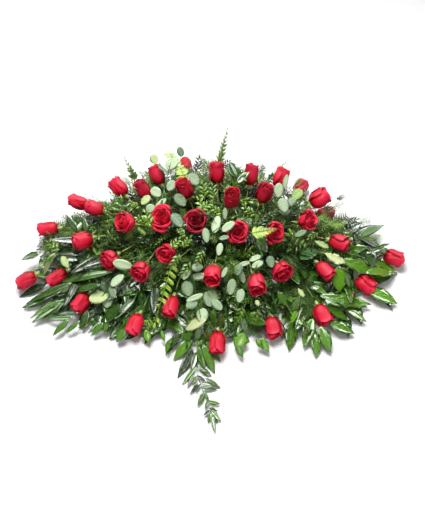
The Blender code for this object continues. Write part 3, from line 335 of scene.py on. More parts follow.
@dataclass
class CadNode:
    """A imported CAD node, read as the stems and leaves that it was made of."""

    name: str
    thinnest: float = 0.0013
    thickest: float = 0.0019
    least_reach: float = 0.004
    # Where the last corners before a leaf's tip stand along it, and how wide it is there, as shares.
    small_station: tuple[float, float] = (0.42, 1.0)
    large_station: tuple[float, float] = (0.66, 0.84)
    least_twig: float = 0.007
    least_coin: float = 0.010
    coin_slack: float = 0.002
    coin_thickness: float = 0.0016
    work: bmesh.types.BMesh = field(init=False)
    taken: set = field(init=False, default_factory=set)

    def __post_init__(self) -> None:
        """Joins a copy of the node's loose triangles."""
        self.work = bmesh.new()
        self.work.from_mesh(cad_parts[self.name].data)
        bmesh.ops.remove_doubles(self.work, verts=self.work.verts, dist=1e-5)
        self.work.verts.ensure_lookup_table()

    def ring(self, vertex: bmesh.types.BMVert) -> list[bmesh.types.BMVert]:
        """Returns the corners next to a corner."""
        return [edge.other_vert(vertex) for edge in vertex.link_edges]

    def midrib_pair(self, near: list, far: list) -> tuple | None:
        """Finds the two corners above and below a midrib.

        Args:
            near: Corners of which one is above.
            far: Corners of which one is below.

        Returns:
            The pair, or None.
        """
        for a in near:
            for b in far:
                if a is not b and self.thinnest < (a.co - b.co).length < self.thickest:
                    return a, b
        return None

    def leaves(self) -> list[LeafPlace]:
        """Finds every leaf by its tip, which ends a loop of four corners.

        Returns:
            The places of the leaves.
        """
        found = []
        for tip in self.work.verts:
            loop = self.ring(tip)
            if len(loop) != 4:
                continue
            pair = self.midrib_pair(loop, loop)
            if not pair or (tip.co - pair[0].co).length < self.least_reach:
                continue
            edges = [corner for corner in loop if corner not in pair]
            middle = (pair[0].co + pair[1].co) / 2
            across = edges[0].co - edges[1].co
            if across.length < self.least_reach:
                continue
            facing = (pair[0].co - pair[1].co).normalized()
            if facing.dot((edges[0].co + edges[1].co) / 2 - middle) < 0:
                facing.negate()
            behind = {c for corner in loop for c in self.ring(corner)} - set(loop) - {tip}
            above = [c for c in self.ring(pair[0]) if c in behind]
            below = [c for c in self.ring(pair[1]) if c in behind]
            small = self.midrib_pair(above, below) is None
            reach = tip.co - middle
            flat = reach - facing * reach.dot(facing)
            share, spread = self.small_station if small else self.large_station
            length = flat.length / (1 - share)
            heading = flat.normalized()
            arch = -reach.dot(facing) / (1 - share**2)
            root = middle - heading * (length * share) + facing * (arch * share**2)
            found.append(LeafPlace(root, heading, facing, length, across.length / spread, small))
            self.taken |= {tip, *loop}
            if not small:
                self.taken |= behind
        return found

    def twigs(self) -> list[LeafPlace]:
        """Finds every fine twig by its tip, far from the four corners of its foot.

        Returns:
            The places of the twigs, facing up.
        """
        found = []
        for tip in self.work.verts:
            loop = self.ring(tip)
            if tip in self.taken or not 3 < len(loop) < 6:
                continue
            foot = sum((corner.co for corner in loop), Vector()) / len(loop)
            spread = max((corner.co - foot).length for corner in loop)
            reach = tip.co - foot
            if reach.length > max(self.least_twig, 1.5 * spread):
                facing, _ = around(reach)
                found.append(LeafPlace(foot, reach.normalized(), facing, reach.length, 0.4 * reach.length))
                self.taken.add(tip)
        return found

    def coins(self) -> list[LeafPlace]:
        """Finds every round leaf by the middle of its domed side.

        Returns:
            The places of the round leaves, whose heading isn't known yet.
        """
        found = []
        for middle in self.work.verts:
            rim = self.ring(middle)
            reaches = sorted((corner.co - middle.co).length for corner in rim)
            usual = reaches[len(rim) // 2]
            if len(rim) < 6 or usual < self.least_coin or reaches[-1] - reaches[2] > self.coin_slack:
                continue
            facing = sum((face.normal for face in middle.link_faces), Vector()).normalized()
            size = 2 * usual
            found.append(LeafPlace(middle.co - facing * self.coin_thickness, Vector(), facing, size, size))
            whole = [corner for corner in rim if abs((corner.co - middle.co).length - size / 2) < 0.0005]
            self.taken |= {middle, *whole}
        return found

    def bare_stems(self, name: str, swell: float = 0.0) -> bpy.types.Object:
        """Makes round stems of what is left when the leaves are taken off.

        Args:
            name: The new object's name.
            swell: How far the stems grow before they are rounded.

        Returns:
            The stems, as a plain mesh.
        """
        bmesh.ops.delete(self.work, geom=[v for v in self.taken if v.is_valid], context="VERTS")
        bmesh.ops.holes_fill(self.work, edges=self.work.edges, sides=0)
        bmesh.ops.triangulate(self.work, faces=self.work.faces)
        bmesh.ops.recalc_face_normals(self.work, faces=self.work.faces)
        self.work.normal_update()
        for vertex in self.work.verts:
            vertex.co += vertex.normal * swell
        mesh = bpy.data.meshes.new(name)
        self.work.to_mesh(mesh)
        self.work.free()
        stems = bpy.data.objects.new(name, mesh)
        bpy.context.scene.collection.objects.link(stems)
        rounding = stems.modifiers.new("rounding", "SUBSURF")
        rounding.levels = rounding.render_levels = 1
        made = plain_mesh(stems, name)
        made.data.materials.clear()
        return made


# Finishes


class Feature(Enum):
    """What a leaf's pattern shows."""

    VEINED = "veined"
    PLAIN = "plain"
    PARALLEL = "parallel"


@dataclass(frozen=True)
class LeafFinish:
    """A leaf's skin: waxy, darker above, with lighter veins, each leaf a little different in tint."""

    name: str
    dark: str
    light: str
    vein: str
    roughness: float = 0.34
    coat: float = 0.25
    feature: Feature = Feature.VEINED
    veins: float = 9.0
    vein_share: float = 0.35
    bump: float = 0.25
    specular: float = 0.5

    def material(self) -> bpy.types.Material:
        """Builds the material once.

        Returns:
            The material.
        """
        if self.name in bpy.data.materials:
            return bpy.data.materials[self.name]
        made = bpy.data.materials.new(self.name)
        made.use_nodes = True
        tree = made.node_tree
        shader = tree.nodes["Principled BSDF"]
        place = add_node(tree, "ShaderNodeAttribute", attribute_name="leaf").outputs["Vector"]
        parts = add_node(tree, "ShaderNodeSeparateXYZ", {0: place}).outputs
        tint = add_node(tree, "ShaderNodeAttribute", attribute_name="tint").outputs["Fac"]
        spots = add_node(tree, "ShaderNodeTexCoord").outputs["Object"]
        # Blotches about 6 mm across, as the leaf's flesh varies in thickness.
        cloud = add_node(tree, "ShaderNodeTexNoise", {"Vector": spots, "Scale": 160.0, "Detail": 3.0}).outputs["Fac"]
        # A leaf's stored tint sets how light it is: its own tint, with painted shade deep in the mound.
        own = add_node(tree, MATH, (tint, 1.0, -0.28), operation="MULTIPLY_ADD").outputs[0]
        lightness = add_node(tree, MATH, (cloud, 0.5, own), operation="MULTIPLY_ADD", use_clamp=True).outputs[0]
        base = add_node(
            tree, "ShaderNodeMix", {0: lightness, 6: linear(self.dark), 7: linear(self.light)}, data_type="RGBA"
        )
        side = add_node(tree, MATH, (parts[0],), operation="ABSOLUTE").outputs[0]
        height: bpy.types.NodeSocket = cloud
        colour = base.outputs[2]
        if self.feature is not Feature.PLAIN:
            rib = add_node(tree, "ShaderNodeMapRange", {"Value": side, 1: 0.015, 2: 0.075, 3: 1.0, 4: 0.0}).outputs[0]
            if self.feature is Feature.VEINED:
                run = add_node(tree, MATH, (side, -0.30, parts[1]), operation="MULTIPLY_ADD").outputs[0]
                turns = add_node(tree, MATH, (run, self.veins * math.tau), operation="MULTIPLY").outputs[0]
            else:
                turns = add_node(tree, MATH, (parts[0], self.veins * math.tau), operation="MULTIPLY").outputs[0]
            wave = add_node(tree, MATH, (turns,), operation="SINE").outputs[0]
            fine = add_node(tree, "ShaderNodeMapRange", {"Value": wave, 1: 0.72, 2: 1.0, 3: 0.0, 4: 0.6}).outputs[0]
            lines = add_node(tree, MATH, (rib, fine), operation="MAXIMUM").outputs[0]
            share = add_node(tree, MATH, (lines, self.vein_share), operation="MULTIPLY").outputs[0]
            colour = add_node(
                tree, "ShaderNodeMix", {0: share, 6: base.outputs[2], 7: linear(self.vein)}, data_type="RGBA"
            ).outputs[2]
            height = add_node(tree, MATH, (lines, -0.7, cloud), operation="MULTIPLY_ADD").outputs[0]
        tree.links.new(colour, shader.inputs["Base Color"])
        bump = add_node(tree, "ShaderNodeBump", {"Strength": self.bump, "Distance": 0.0016, "Height": height})
        tree.links.new(bump.outputs[0], shader.inputs["Normal"])
        worn = add_node(tree, MATH, (cloud, 0.16, self.roughness - 0.08), operation="MULTIPLY_ADD").outputs[0]
        tree.links.new(worn, shader.inputs["Roughness"])
        shader.inputs["IOR"].default_value = 1.45
        shader.inputs["Specular IOR Level"].default_value = self.specular
        shader.inputs["Coat Weight"].default_value = self.coat
        shader.inputs["Coat Roughness"].default_value = 0.12
        return made


@dataclass(frozen=True)
class PetalFinish:
    """A rose petal's skin: velvety cells give a soft sheen. Its red is darker low in the cup and on the inner petals as
    painted shade, and lighter up to the turned lip.
    """

    name: str = "rose_petal_velvet"
    deep: str = "5c0008"
    body: str = "cc0a22"
    lip: str = "ea2c4c"

    def material(self) -> bpy.types.Material:
        """Builds the material.

        Returns:
            The material.
        """
        made = bpy.data.materials.new(self.name)
        made.use_nodes = True
        tree = made.node_tree
        shader = tree.nodes["Principled BSDF"]
        place = add_node(tree, "ShaderNodeAttribute", attribute_name="petal").outputs["Vector"]
        parts = add_node(tree, "ShaderNodeSeparateXYZ", {0: place}).outputs
        spots = add_node(tree, "ShaderNodeTexCoord").outputs["Object"]
        cloud = add_node(tree, "ShaderNodeTexNoise", {"Vector": spots, "Scale": 120.0, "Detail": 4.0}).outputs["Fac"]
        # Painted shade: the red darkens low on each petal and on the inner petals, deep in the cup.
        rise = add_node(tree, MATH, (cloud, 0.3, parts[1]), operation="MULTIPLY_ADD").outputs[0]
        outer = add_node(tree, MATH, (parts[2], 0.50, 0.06), operation="MULTIPLY_ADD").outputs[0]
        share = add_node(tree, MATH, (rise, 0.48, outer), operation="MULTIPLY_ADD").outputs[0]
        ramp = add_node(tree, "ShaderNodeValToRGB", {0: share})
        ramp.color_ramp.elements[0].position = 0.18
        ramp.color_ramp.elements[0].color = linear(self.deep)
        ramp.color_ramp.elements[1].position = 1.0
        ramp.color_ramp.elements[1].color = linear(self.lip)
        middle = ramp.color_ramp.elements.new(0.58)
        middle.color = linear(self.body)
        # The side edges are darker: partly the velvet's own edge, partly painted shade where a petal tucks under the
        # next. Each rose's red is scaled by its own brightness.
        side = add_node(tree, MATH, (parts[0],), operation="ABSOLUTE").outputs[0]
        edge = add_node(tree, "ShaderNodeMapRange", {"Value": side, 1: 0.70, 2: 1.0, 3: 1.0, 4: 0.74}).outputs[0]
        tone = add_node(tree, "ShaderNodeAttribute", attribute_name="tone").outputs["Fac"]
        depth = add_node(tree, "ShaderNodeMapRange", {"Value": tone, 1: 0.0, 2: 1.0, 3: 0.50, 4: 1.04}).outputs[0]
        value = add_node(tree, MATH, (edge, depth), operation="MULTIPLY").outputs[0]
        skin = add_node(tree, "ShaderNodeHueSaturation", {"Value": value, "Color": ramp.outputs[0]})
        tree.links.new(skin.outputs[0], shader.inputs["Base Color"])
        # Fine ribs fan out along the petal, about 1 mm apart.
        fan = add_node(tree, MATH, (parts[0], 60.0), operation="MULTIPLY").outputs[0]
        ribs = add_node(tree, MATH, (fan,), operation="SINE").outputs[0]
        height = add_node(tree, MATH, (ribs, 0.2, cloud), operation="MULTIPLY_ADD").outputs[0]
        bump = add_node(tree, "ShaderNodeBump", {"Strength": 0.18, "Distance": 0.0006, "Height": height})
        tree.links.new(bump.outputs[0], shader.inputs["Normal"])
        shader.inputs["Roughness"].default_value = 0.48
        shader.inputs["IOR"].default_value = 1.42
        shader.inputs["Specular IOR Level"].default_value = 0.22
        shader.inputs["Sheen Weight"].default_value = 0.03
        shader.inputs["Sheen Roughness"].default_value = 0.45
        shader.inputs["Sheen Tint"].default_value = linear("ff8090")
        return made


@dataclass(frozen=True)
class SurfaceFinish:
    """A plain surface with grain: pores, moulding marks or tape wrinkles, by its scale."""

    name: str
    dark: str
    light: str
    grain: float
    roughness: float
    bump: float

    def material(self) -> bpy.types.Material:
        """Builds the material.

        Returns:
            The material.
        """
        made = bpy.data.materials.new(self.name)
        made.use_nodes = True
        tree = made.node_tree
        shader = tree.nodes["Principled BSDF"]
        spots = add_node(tree, "ShaderNodeTexCoord").outputs["Object"]
        pattern = {"Vector": spots, "Scale": self.grain, "Detail": 5.0}
        grain = add_node(tree, "ShaderNodeTexNoise", pattern).outputs["Fac"]
        shades = {0: grain, 6: linear(self.dark), 7: linear(self.light)}
        colour = add_node(tree, "ShaderNodeMix", shades, data_type="RGBA")
        tree.links.new(colour.outputs[2], shader.inputs["Base Color"])
        bump = add_node(tree, "ShaderNodeBump", {"Strength": self.bump, "Distance": 0.0008, "Height": grain})
        tree.links.new(bump.outputs[0], shader.inputs["Normal"])
        worn = add_node(tree, MATH, (grain, 0.2, self.roughness - 0.1), operation="MULTIPLY_ADD").outputs[0]
        tree.links.new(worn, shader.inputs["Roughness"])
        return made


# Rose petals: matt velvet skin, so a broad soft sheen and no sharp glint.
PETAL_VELVET = PetalFinish()
# Rose stems, hips and sepals: smooth young growth, pale yellow green, faintly waxy.
ROSE_GROWTH = LeafFinish("rose_stem_and_sepal", "8fa046", "c9d27e", "dbe0a0", 0.42, 0.1, Feature.PARALLEL, 3.0, 0.2)
# Rose leaves: dull dark green above, with netted veins.
ROSE_LEAF = LeafFinish("rose_leaf", "2c5a20", "4f8a34", "86b060", 0.45, 0.1)
# Lemon leaf: thick and hard with a polished wax, so small sharp glints.
LEMON_LEAF = LeafFinish("lemon_leaf_waxed", "0e2808", "50881c", "8cac58", 0.22, 0.8, Feature.VEINED, 6.0, 0.25, 0.6)
# Broad leaf at the right: as lemon leaf, lighter and yellower. Its lighter veins are partly its own and partly painted
# reflection, pale streaks of glint along them.
BROAD_LEAF = LeafFinish("broad_leaf_waxed", "1c480c", "68a41e", "a8c470", 0.18, 0.9, Feature.VEINED, 5.0, 0.25, 0.8)
# Lance leaves at the left: long, satin, fine parallel veins.
LANCE_LEAF = LeafFinish("lance_leaf_satin", "102c0a", "4e8026", "86a858", 0.26, 0.7, Feature.PARALLEL, 4.0, 0.20, 0.5)
# Ruscus: small hard leaves, satin wax.
RUSCUS_LEAF = LeafFinish("ruscus_leaf_satin", "0a2006", "609426", "8cac58", 0.24, 0.8, Feature.PARALLEL, 3.0, 0.20, 0.5)
# Plumosus fern: hair-fine needles, soft dark green without gloss.
FERN_NEEDLE = LeafFinish(
    "plumosus_needle", "061a02", "b0dc6c", "b0dc6c", 0.6, 0.0, Feature.PLAIN, bump=0.1, specular=0.15
)
# Eucalyptus: a dry waxy bloom scatters the light, so pale, grey green and matt.
SILVER_COIN = LeafFinish("eucalyptus_bloom", "4e7048", "bcd4a8", "dcebc8", 0.62, 0.0, Feature.VEINED, 4.0, 0.30, 0.2)
# Undersides and ageing leaves: dull and pale, yellow green.
PALE_LEAF = LeafFinish("pale_leaf_back", "7ea23c", "dbe4a8", "eef0cc", 0.6, 0.0, Feature.VEINED, 5.0, 0.35, 0.2)
# Variegated leaf: dark green, with a cream midrib and edges.
STRIPED_LEAF = LeafFinish("striped_leaf_waxed", "18401c", "3a6e3a", "e6eed6", 0.3, 0.6, Feature.PARALLEL, 1.0, 0.95)
# Rose stems: yellow green near the bloom, darker further from it.
ROSE_STEM = LeafFinish("rose_stem", "35501c", "c2cc66", "c2cc66", 0.45, 0.1, Feature.PLAIN)
# Sword fern tips: young, thin and bright yellow green.
SWORD_FERN = LeafFinish("sword_fern_tip", "86ac22", "bedb48", "d6ea7a", 0.45, 0.1, Feature.PARALLEL, 2.0, 0.3)
# Myrtle: small leathery leaves, mid green.
MYRTLE_LEAF = LeafFinish("myrtle_leaf", "4e7a26", "a0c254", "b8cc74", 0.36, 0.3, Feature.VEINED, 4.0, 0.3)
# Young box-like leaves among the fern: bright green, thin wax.
BRIGHT_LEAF = LeafFinish("young_leaf_waxed", "2e5c10", "80ac30", "b4d060", 0.30, 0.3, Feature.PARALLEL, 2.0, 0.25)
# Green stems and wiry ribs.
GREEN_STEM = LeafFinish("green_stem", "35602a", "6a9440", "6a9440", 0.5, 0.0, Feature.PLAIN, specular=0.25)


# Leaf shapes, made once and repeated by Geometry Nodes


@dataclass(frozen=True)
class LeafForm:
    """A leaf one unit long and wide: folded up from its midrib, arched, closed above and below."""

    name: str
    finish: LeafFinish
    outline: tuple[tuple[float, float], ...]
    fold: float = 0.20
    arch: float = 0.12
    ratio: float = 0.45
    wave: float = 0.0
    thickness: float = 0.007
    light: bool = False

    def template(self) -> bpy.types.Object:
        """Builds the leaf along Y, facing Z, with its place kept as an attribute.

        Returns:
            The template object.
        """
        points: list[Vector] = []
        places: list[Vector] = []
        rows = []
        for k, (share, spread) in enumerate(self.outline):
            reach = 0.5 * spread
            level = -self.arch * share * share
            lift = self.fold * reach * self.ratio
            ripple = self.wave * math.sin(2.6 * k) * self.ratio * spread
            upper = [(-1.0, lift + ripple), (-0.5, 0.42 * lift), (0.0, 0.0), (0.5, 0.42 * lift), (1.0, lift - ripple)]
            lower = [(side, 0.84 * lift * abs(side) - self.thickness) for side in (0.5, 0.0, -0.5)]
            if self.light:
                upper, lower = upper[::2], lower[1:2]
            row = []
            for side, rise in upper + lower:
                row.append(len(points))
                points.append(Vector((side * reach, share, level + rise)))
                places.append(Vector((side, share, 0.0)))
            rows.append(row)
        faces: list[tuple] = []
        for near, far in zip(rows, rows[1:]):
            for a, b, c, d in zip(near, near[1:] + near[:1], far[1:] + far[:1], far):
                faces.append((a, b, c, d))
        points.append(Vector((0.0, 1.0, -self.arch)))
        places.append(Vector((0.0, 1.0, 0.0)))
        last = rows[-1]
        for a, b in zip(last, last[1:] + last[:1]):
            faces.append((a, b, len(points) - 1))
        faces.append(tuple(reversed(rows[0])))
        made = new_object(f"template_{self.name}", points, faces)
        store(made.data, "leaf", "FLOAT_VECTOR", places)
        made.data.shade_smooth()
        return made


OVATE = ((0.0, 0.06), (0.10, 0.46), (0.24, 0.86), (0.42, 1.0), (0.60, 0.90), (0.76, 0.62), (0.90, 0.24))
LANCEOLATE = ((0.0, 0.10), (0.12, 0.58), (0.30, 0.96), (0.50, 0.98), (0.70, 0.72), (0.88, 0.30))
SMALL = ((0.0, 0.10), (0.18, 0.72), (0.42, 1.0), (0.68, 0.74), (0.88, 0.30))
ROUND = ((0.0, 0.14), (0.08, 0.55), (0.24, 0.88), (0.46, 1.0), (0.70, 0.90), (0.88, 0.60), (0.97, 0.28))

LEMON_FORM = LeafForm("lemon_leaf", LEMON_LEAF, OVATE, ratio=0.62, wave=0.04)
BROAD_FORM = LeafForm("broad_leaf", BROAD_LEAF, OVATE, ratio=0.44, wave=0.03)
LANCE_FORM = LeafForm("lance_leaf", LANCE_LEAF, LANCEOLATE, ratio=0.25, arch=0.10)
RUSCUS_FORM = LeafForm("ruscus_leaf", RUSCUS_LEAF, SMALL, ratio=0.42)
TRAIL_FORM = LeafForm("trailing_leaf", RUSCUS_LEAF, LANCEOLATE, ratio=0.33, arch=0.06)
ROSE_LEAF_FORM = LeafForm("rose_leaf", ROSE_LEAF, OVATE, ratio=0.6, wave=0.03)
SEPAL_FORM = LeafForm("sepal", ROSE_GROWTH, ((0.0, 0.9), (0.25, 1.0), (0.55, 0.6), (0.8, 0.25)), ratio=0.3, arch=0.35)
COIN_FORM = LeafForm("eucalyptus_leaf", SILVER_COIN, ROUND, ratio=1.0, fold=0.10, arch=0.06)
LEAFLET_FORM = LeafForm("sword_fern_leaflet", SWORD_FERN, LANCEOLATE, ratio=0.3, arch=0.08)
MYRTLE_FORM = LeafForm("myrtle_leaf", MYRTLE_LEAF, SMALL, ratio=0.45, arch=0.10)
PALE_FORM = LeafForm("pale_leaf", PALE_LEAF, OVATE, ratio=0.5, wave=0.03)
PALE_COIN = LeafForm("pale_coin", PALE_LEAF, ROUND, ratio=1.0, fold=0.10, arch=0.06)
STRIPED_FORM = LeafForm("striped_leaf", STRIPED_LEAF, OVATE, ratio=0.5)
SMALL_RUSCUS = LeafForm("small_ruscus", RUSCUS_LEAF, ((0.0, 0.1), (0.25, 0.85), (0.60, 0.85)), ratio=0.36, light=True)
BRIGHT_SMALL = LeafForm("bright_leaf", BRIGHT_LEAF, ((0.0, 0.1), (0.25, 0.85), (0.60, 0.9)), ratio=0.46, light=True)


@dataclass(frozen=True)
class FrondForm:
    """A plumosus frond one unit long: a wiry rib with flat rows of twigs, longest near its foot.

    Its real needles are 0.2 mm across, and are drawn several times wider so that they show.
    """

    name: str = "plumosus_frond"
    finish: LeafFinish = FERN_NEEDLE
    pairs: int = 8
    needles: int = 2
    spread: float = 0.42
    thickness: float = 0.017
    flatness: float = 1.0

    def needle(self, points: list[Vector], faces: list[tuple], root: Vector, tip: Vector, radius: float) -> None:
        """Adds a three-sided needle, wide side up.

        Args:
            points: Corners so far, added to.
            faces: Faces so far, added to.
            root: Where it starts.
            tip: Where it ends.
            radius: Half its width at the foot.
        """
        up, side = around(tip - root)
        start = len(points)
        points += [root + side * radius, root - side * radius, root + up * (radius * self.flatness), tip]
        faces += [(start, start + 1, start + 2), (start, start + 2, start + 3), (start + 2, start + 1, start + 3)]
        faces.append((start + 1, start, start + 3))

    def template(self) -> bpy.types.Object:
        """Builds the frond along Y, facing Z.

        Returns:
            The template object.
        """
        points: list[Vector] = []
        faces: list[tuple] = []
        self.needle(points, faces, Vector((0, 0, 0)), Vector((0, 1, -0.12)), self.thickness * 0.8)
        for k in range(self.pairs):
            share = 0.06 + 0.88 * k / self.pairs
            reach = self.spread * (1 - 0.75 * (k / self.pairs) ** 1.4)
            for sign in (-1, 1):
                root = Vector((0.0, share, -0.12 * share * share))
                tip = root + Vector((sign * reach, 0.42 * reach + 0.03, 0.07 * math.sin(2.1 * k + sign)))
                self.needle(points, faces, root, tip, self.thickness)
                for n in range(self.needles):
                    part = 0.35 + 0.25 * n
                    place = root.lerp(tip, part)
                    ahead = Vector((sign * 0.05, 0.12 - 0.02 * n, 0.02 * math.cos(3.0 * n + k)))
                    self.needle(points, faces, place, place + ahead, 0.7 * self.thickness)
        made = new_object(f"template_{self.name}", points, faces)
        store(made.data, "leaf", "FLOAT_VECTOR", [Vector((point.x, point.y, 0.0)) for point in points])
        return made


@dataclass(frozen=True)
class SprigForm:
    """A leafy twig one unit long, with small leaves by turns to both sides and one at its tip."""

    name: str
    leaf: "LeafForm"
    leaves: int = 8
    reach: float = 0.34
    lean: float = 0.85

    @property
    def finish(self) -> LeafFinish:
        """Returns the leaves' finish."""
        return self.leaf.finish

    def template(self) -> bpy.types.Object:
        """Builds the twig along Y, facing Z.

        Returns:
            The template object.
        """
        leaf = self.leaf.template()
        shape = [vertex.co.copy() for vertex in leaf.data.vertices]
        sides = [tuple(face.vertices) for face in leaf.data.polygons]
        marks = [Vector(item.vector) for item in leaf.data.attributes["leaf"].data]
        bpy.data.objects.remove(leaf)
        points: list[Vector] = []
        faces: list[tuple] = []
        places: list[Vector] = []
        for k in range(self.leaves):
            last = k == self.leaves - 1
            share = 0.06 + 0.66 * k / (self.leaves - 1)
            angle = 0.0 if last else self.lean * (1 if k % 2 else -1)
            length = self.reach * (1.15 - 0.35 * k / self.leaves)
            heading = Vector((math.sin(angle), math.cos(angle), 0.10 * math.sin(1.7 * k)))
            roll = 0.5 * math.sin(2.3 * k)
            leaned = Vector((math.sin(roll) * heading.y, -math.sin(roll) * heading.x, math.cos(roll)))
            face, side = around(heading, leaned)
            side = -side
            root = Vector((0.0, share, -0.10 * share * share))
            first = len(points)
            for corner in shape:
                width = corner.x * length * self.leaf.ratio
                points.append(root + side * width + heading * (corner.y * length) + face * (corner.z * length))
            faces += [tuple(first + corner for corner in face_of) for face_of in sides]
            places += marks
        stem = FrondForm(flatness=1.2)
        before = len(points)
        stem.needle(points, faces, Vector((0, 0, 0)), Vector((0, 0.9, -0.09)), 0.016)
        places += [Vector((0.0, 0.5, 0.0))] * (len(points) - before)
        made = new_object(f"template_{self.name}", points, faces)
        store(made.data, "leaf", "FLOAT_VECTOR", places)
        made.data.shade_smooth()
        return made


Form = LeafForm | FrondForm | SprigForm

FINE_FROND = FrondForm()
FERN_FROND = FrondForm("plumosus_coarse", pairs=8, needles=0, spread=0.44, thickness=0.030)
RUSCUS_SPRIG = SprigForm("ruscus_sprig", SMALL_RUSCUS)
BRIGHT_SPRIG = SprigForm("bright_sprig", BRIGHT_SMALL, leaves=7, reach=0.34)
# Seen from its side, a frond is a brush of long fine strands.
FERN_BRUSH = FrondForm("plumosus_brush", pairs=9, needles=0, spread=0.17, thickness=0.020)


# Geometry Nodes that repeat a template


@dataclass(frozen=True)
class Socket:
    """A named input of a Geometry Nodes tree."""

    name: str
    kind: str


def start_tree(name: str, sockets: tuple[Socket, ...]) -> tuple[bpy.types.NodeTree, bpy.types.Node, bpy.types.Node]:
    """Starts a Geometry Nodes tree with named inputs.

    Args:
        name: The tree's name.
        sockets: Its inputs after the geometry.

    Returns:
        The tree, its group input and its group output.
    """
    tree = bpy.data.node_groups.new(name, "GeometryNodeTree")
    tree.interface.new_socket(name="Geometry", in_out="INPUT", socket_type="NodeSocketGeometry")
    for socket in sockets:
        tree.interface.new_socket(name=socket.name, in_out="INPUT", socket_type=socket.kind)
    tree.interface.new_socket(name="Geometry", in_out="OUTPUT", socket_type="NodeSocketGeometry")
    return tree, tree.nodes.new("NodeGroupInput"), tree.nodes.new("NodeGroupOutput")


def grow(source: bpy.types.Object, tree: bpy.types.NodeTree, values: dict[str, object], name: str) -> bpy.types.Object:
    """Runs a tree on an object and keeps the result as a plain mesh.

    Args:
        source: The object with points or lines, which is used up.
        tree: The Geometry Nodes tree.
        values: Its inputs by name.
        name: The result's name.

    Returns:
        The plain mesh object.
    """
    modifier = source.modifiers.new("growth", "NODES")
    modifier.node_group = tree
    for item in tree.interface.items_tree:
        if item.in_out == "INPUT" and item.name in values:
            modifier[item.identifier] = values[item.name]
    return plain_mesh(source, name)


def placing_tree() -> bpy.types.NodeTree:
    """Builds the tree that puts a template at points with a heading, a facing and a size.

    Returns:
        The tree.
    """
    inputs = (Socket("Leaf", "NodeSocketObject"), Socket("Finish", "NodeSocketMaterial"))
    tree, start, end = start_tree("leaves_at_places", inputs)
    leaf = add_node(tree, "GeometryNodeObjectInfo", {"Object": start.outputs["Leaf"]})
    values = {
        name: add_node(tree, "GeometryNodeInputNamedAttribute", {"Name": name}, data_type="FLOAT_VECTOR").outputs[0]
        for name in ("heading", "facing", "size")
    }
    axes = {0: values["heading"], 1: values["facing"]}
    turn = add_node(tree, "FunctionNodeAxesToRotation", axes, primary_axis="Y", secondary_axis="Z")
    placed = add_node(
        tree,
        "GeometryNodeInstanceOnPoints",
        {
            "Points": start.outputs["Geometry"],
            "Instance": leaf.outputs["Geometry"],
            "Rotation": turn.outputs[0],
            "Scale": values["size"],
        },
    )
    real = add_node(tree, "GeometryNodeRealizeInstances", {0: placed.outputs[0]})
    covered = {"Geometry": real.outputs[0], "Material": start.outputs["Finish"]}
    dressed = add_node(tree, "GeometryNodeSetMaterial", covered)
    tree.links.new(dressed.outputs[0], end.inputs[0])
    return tree


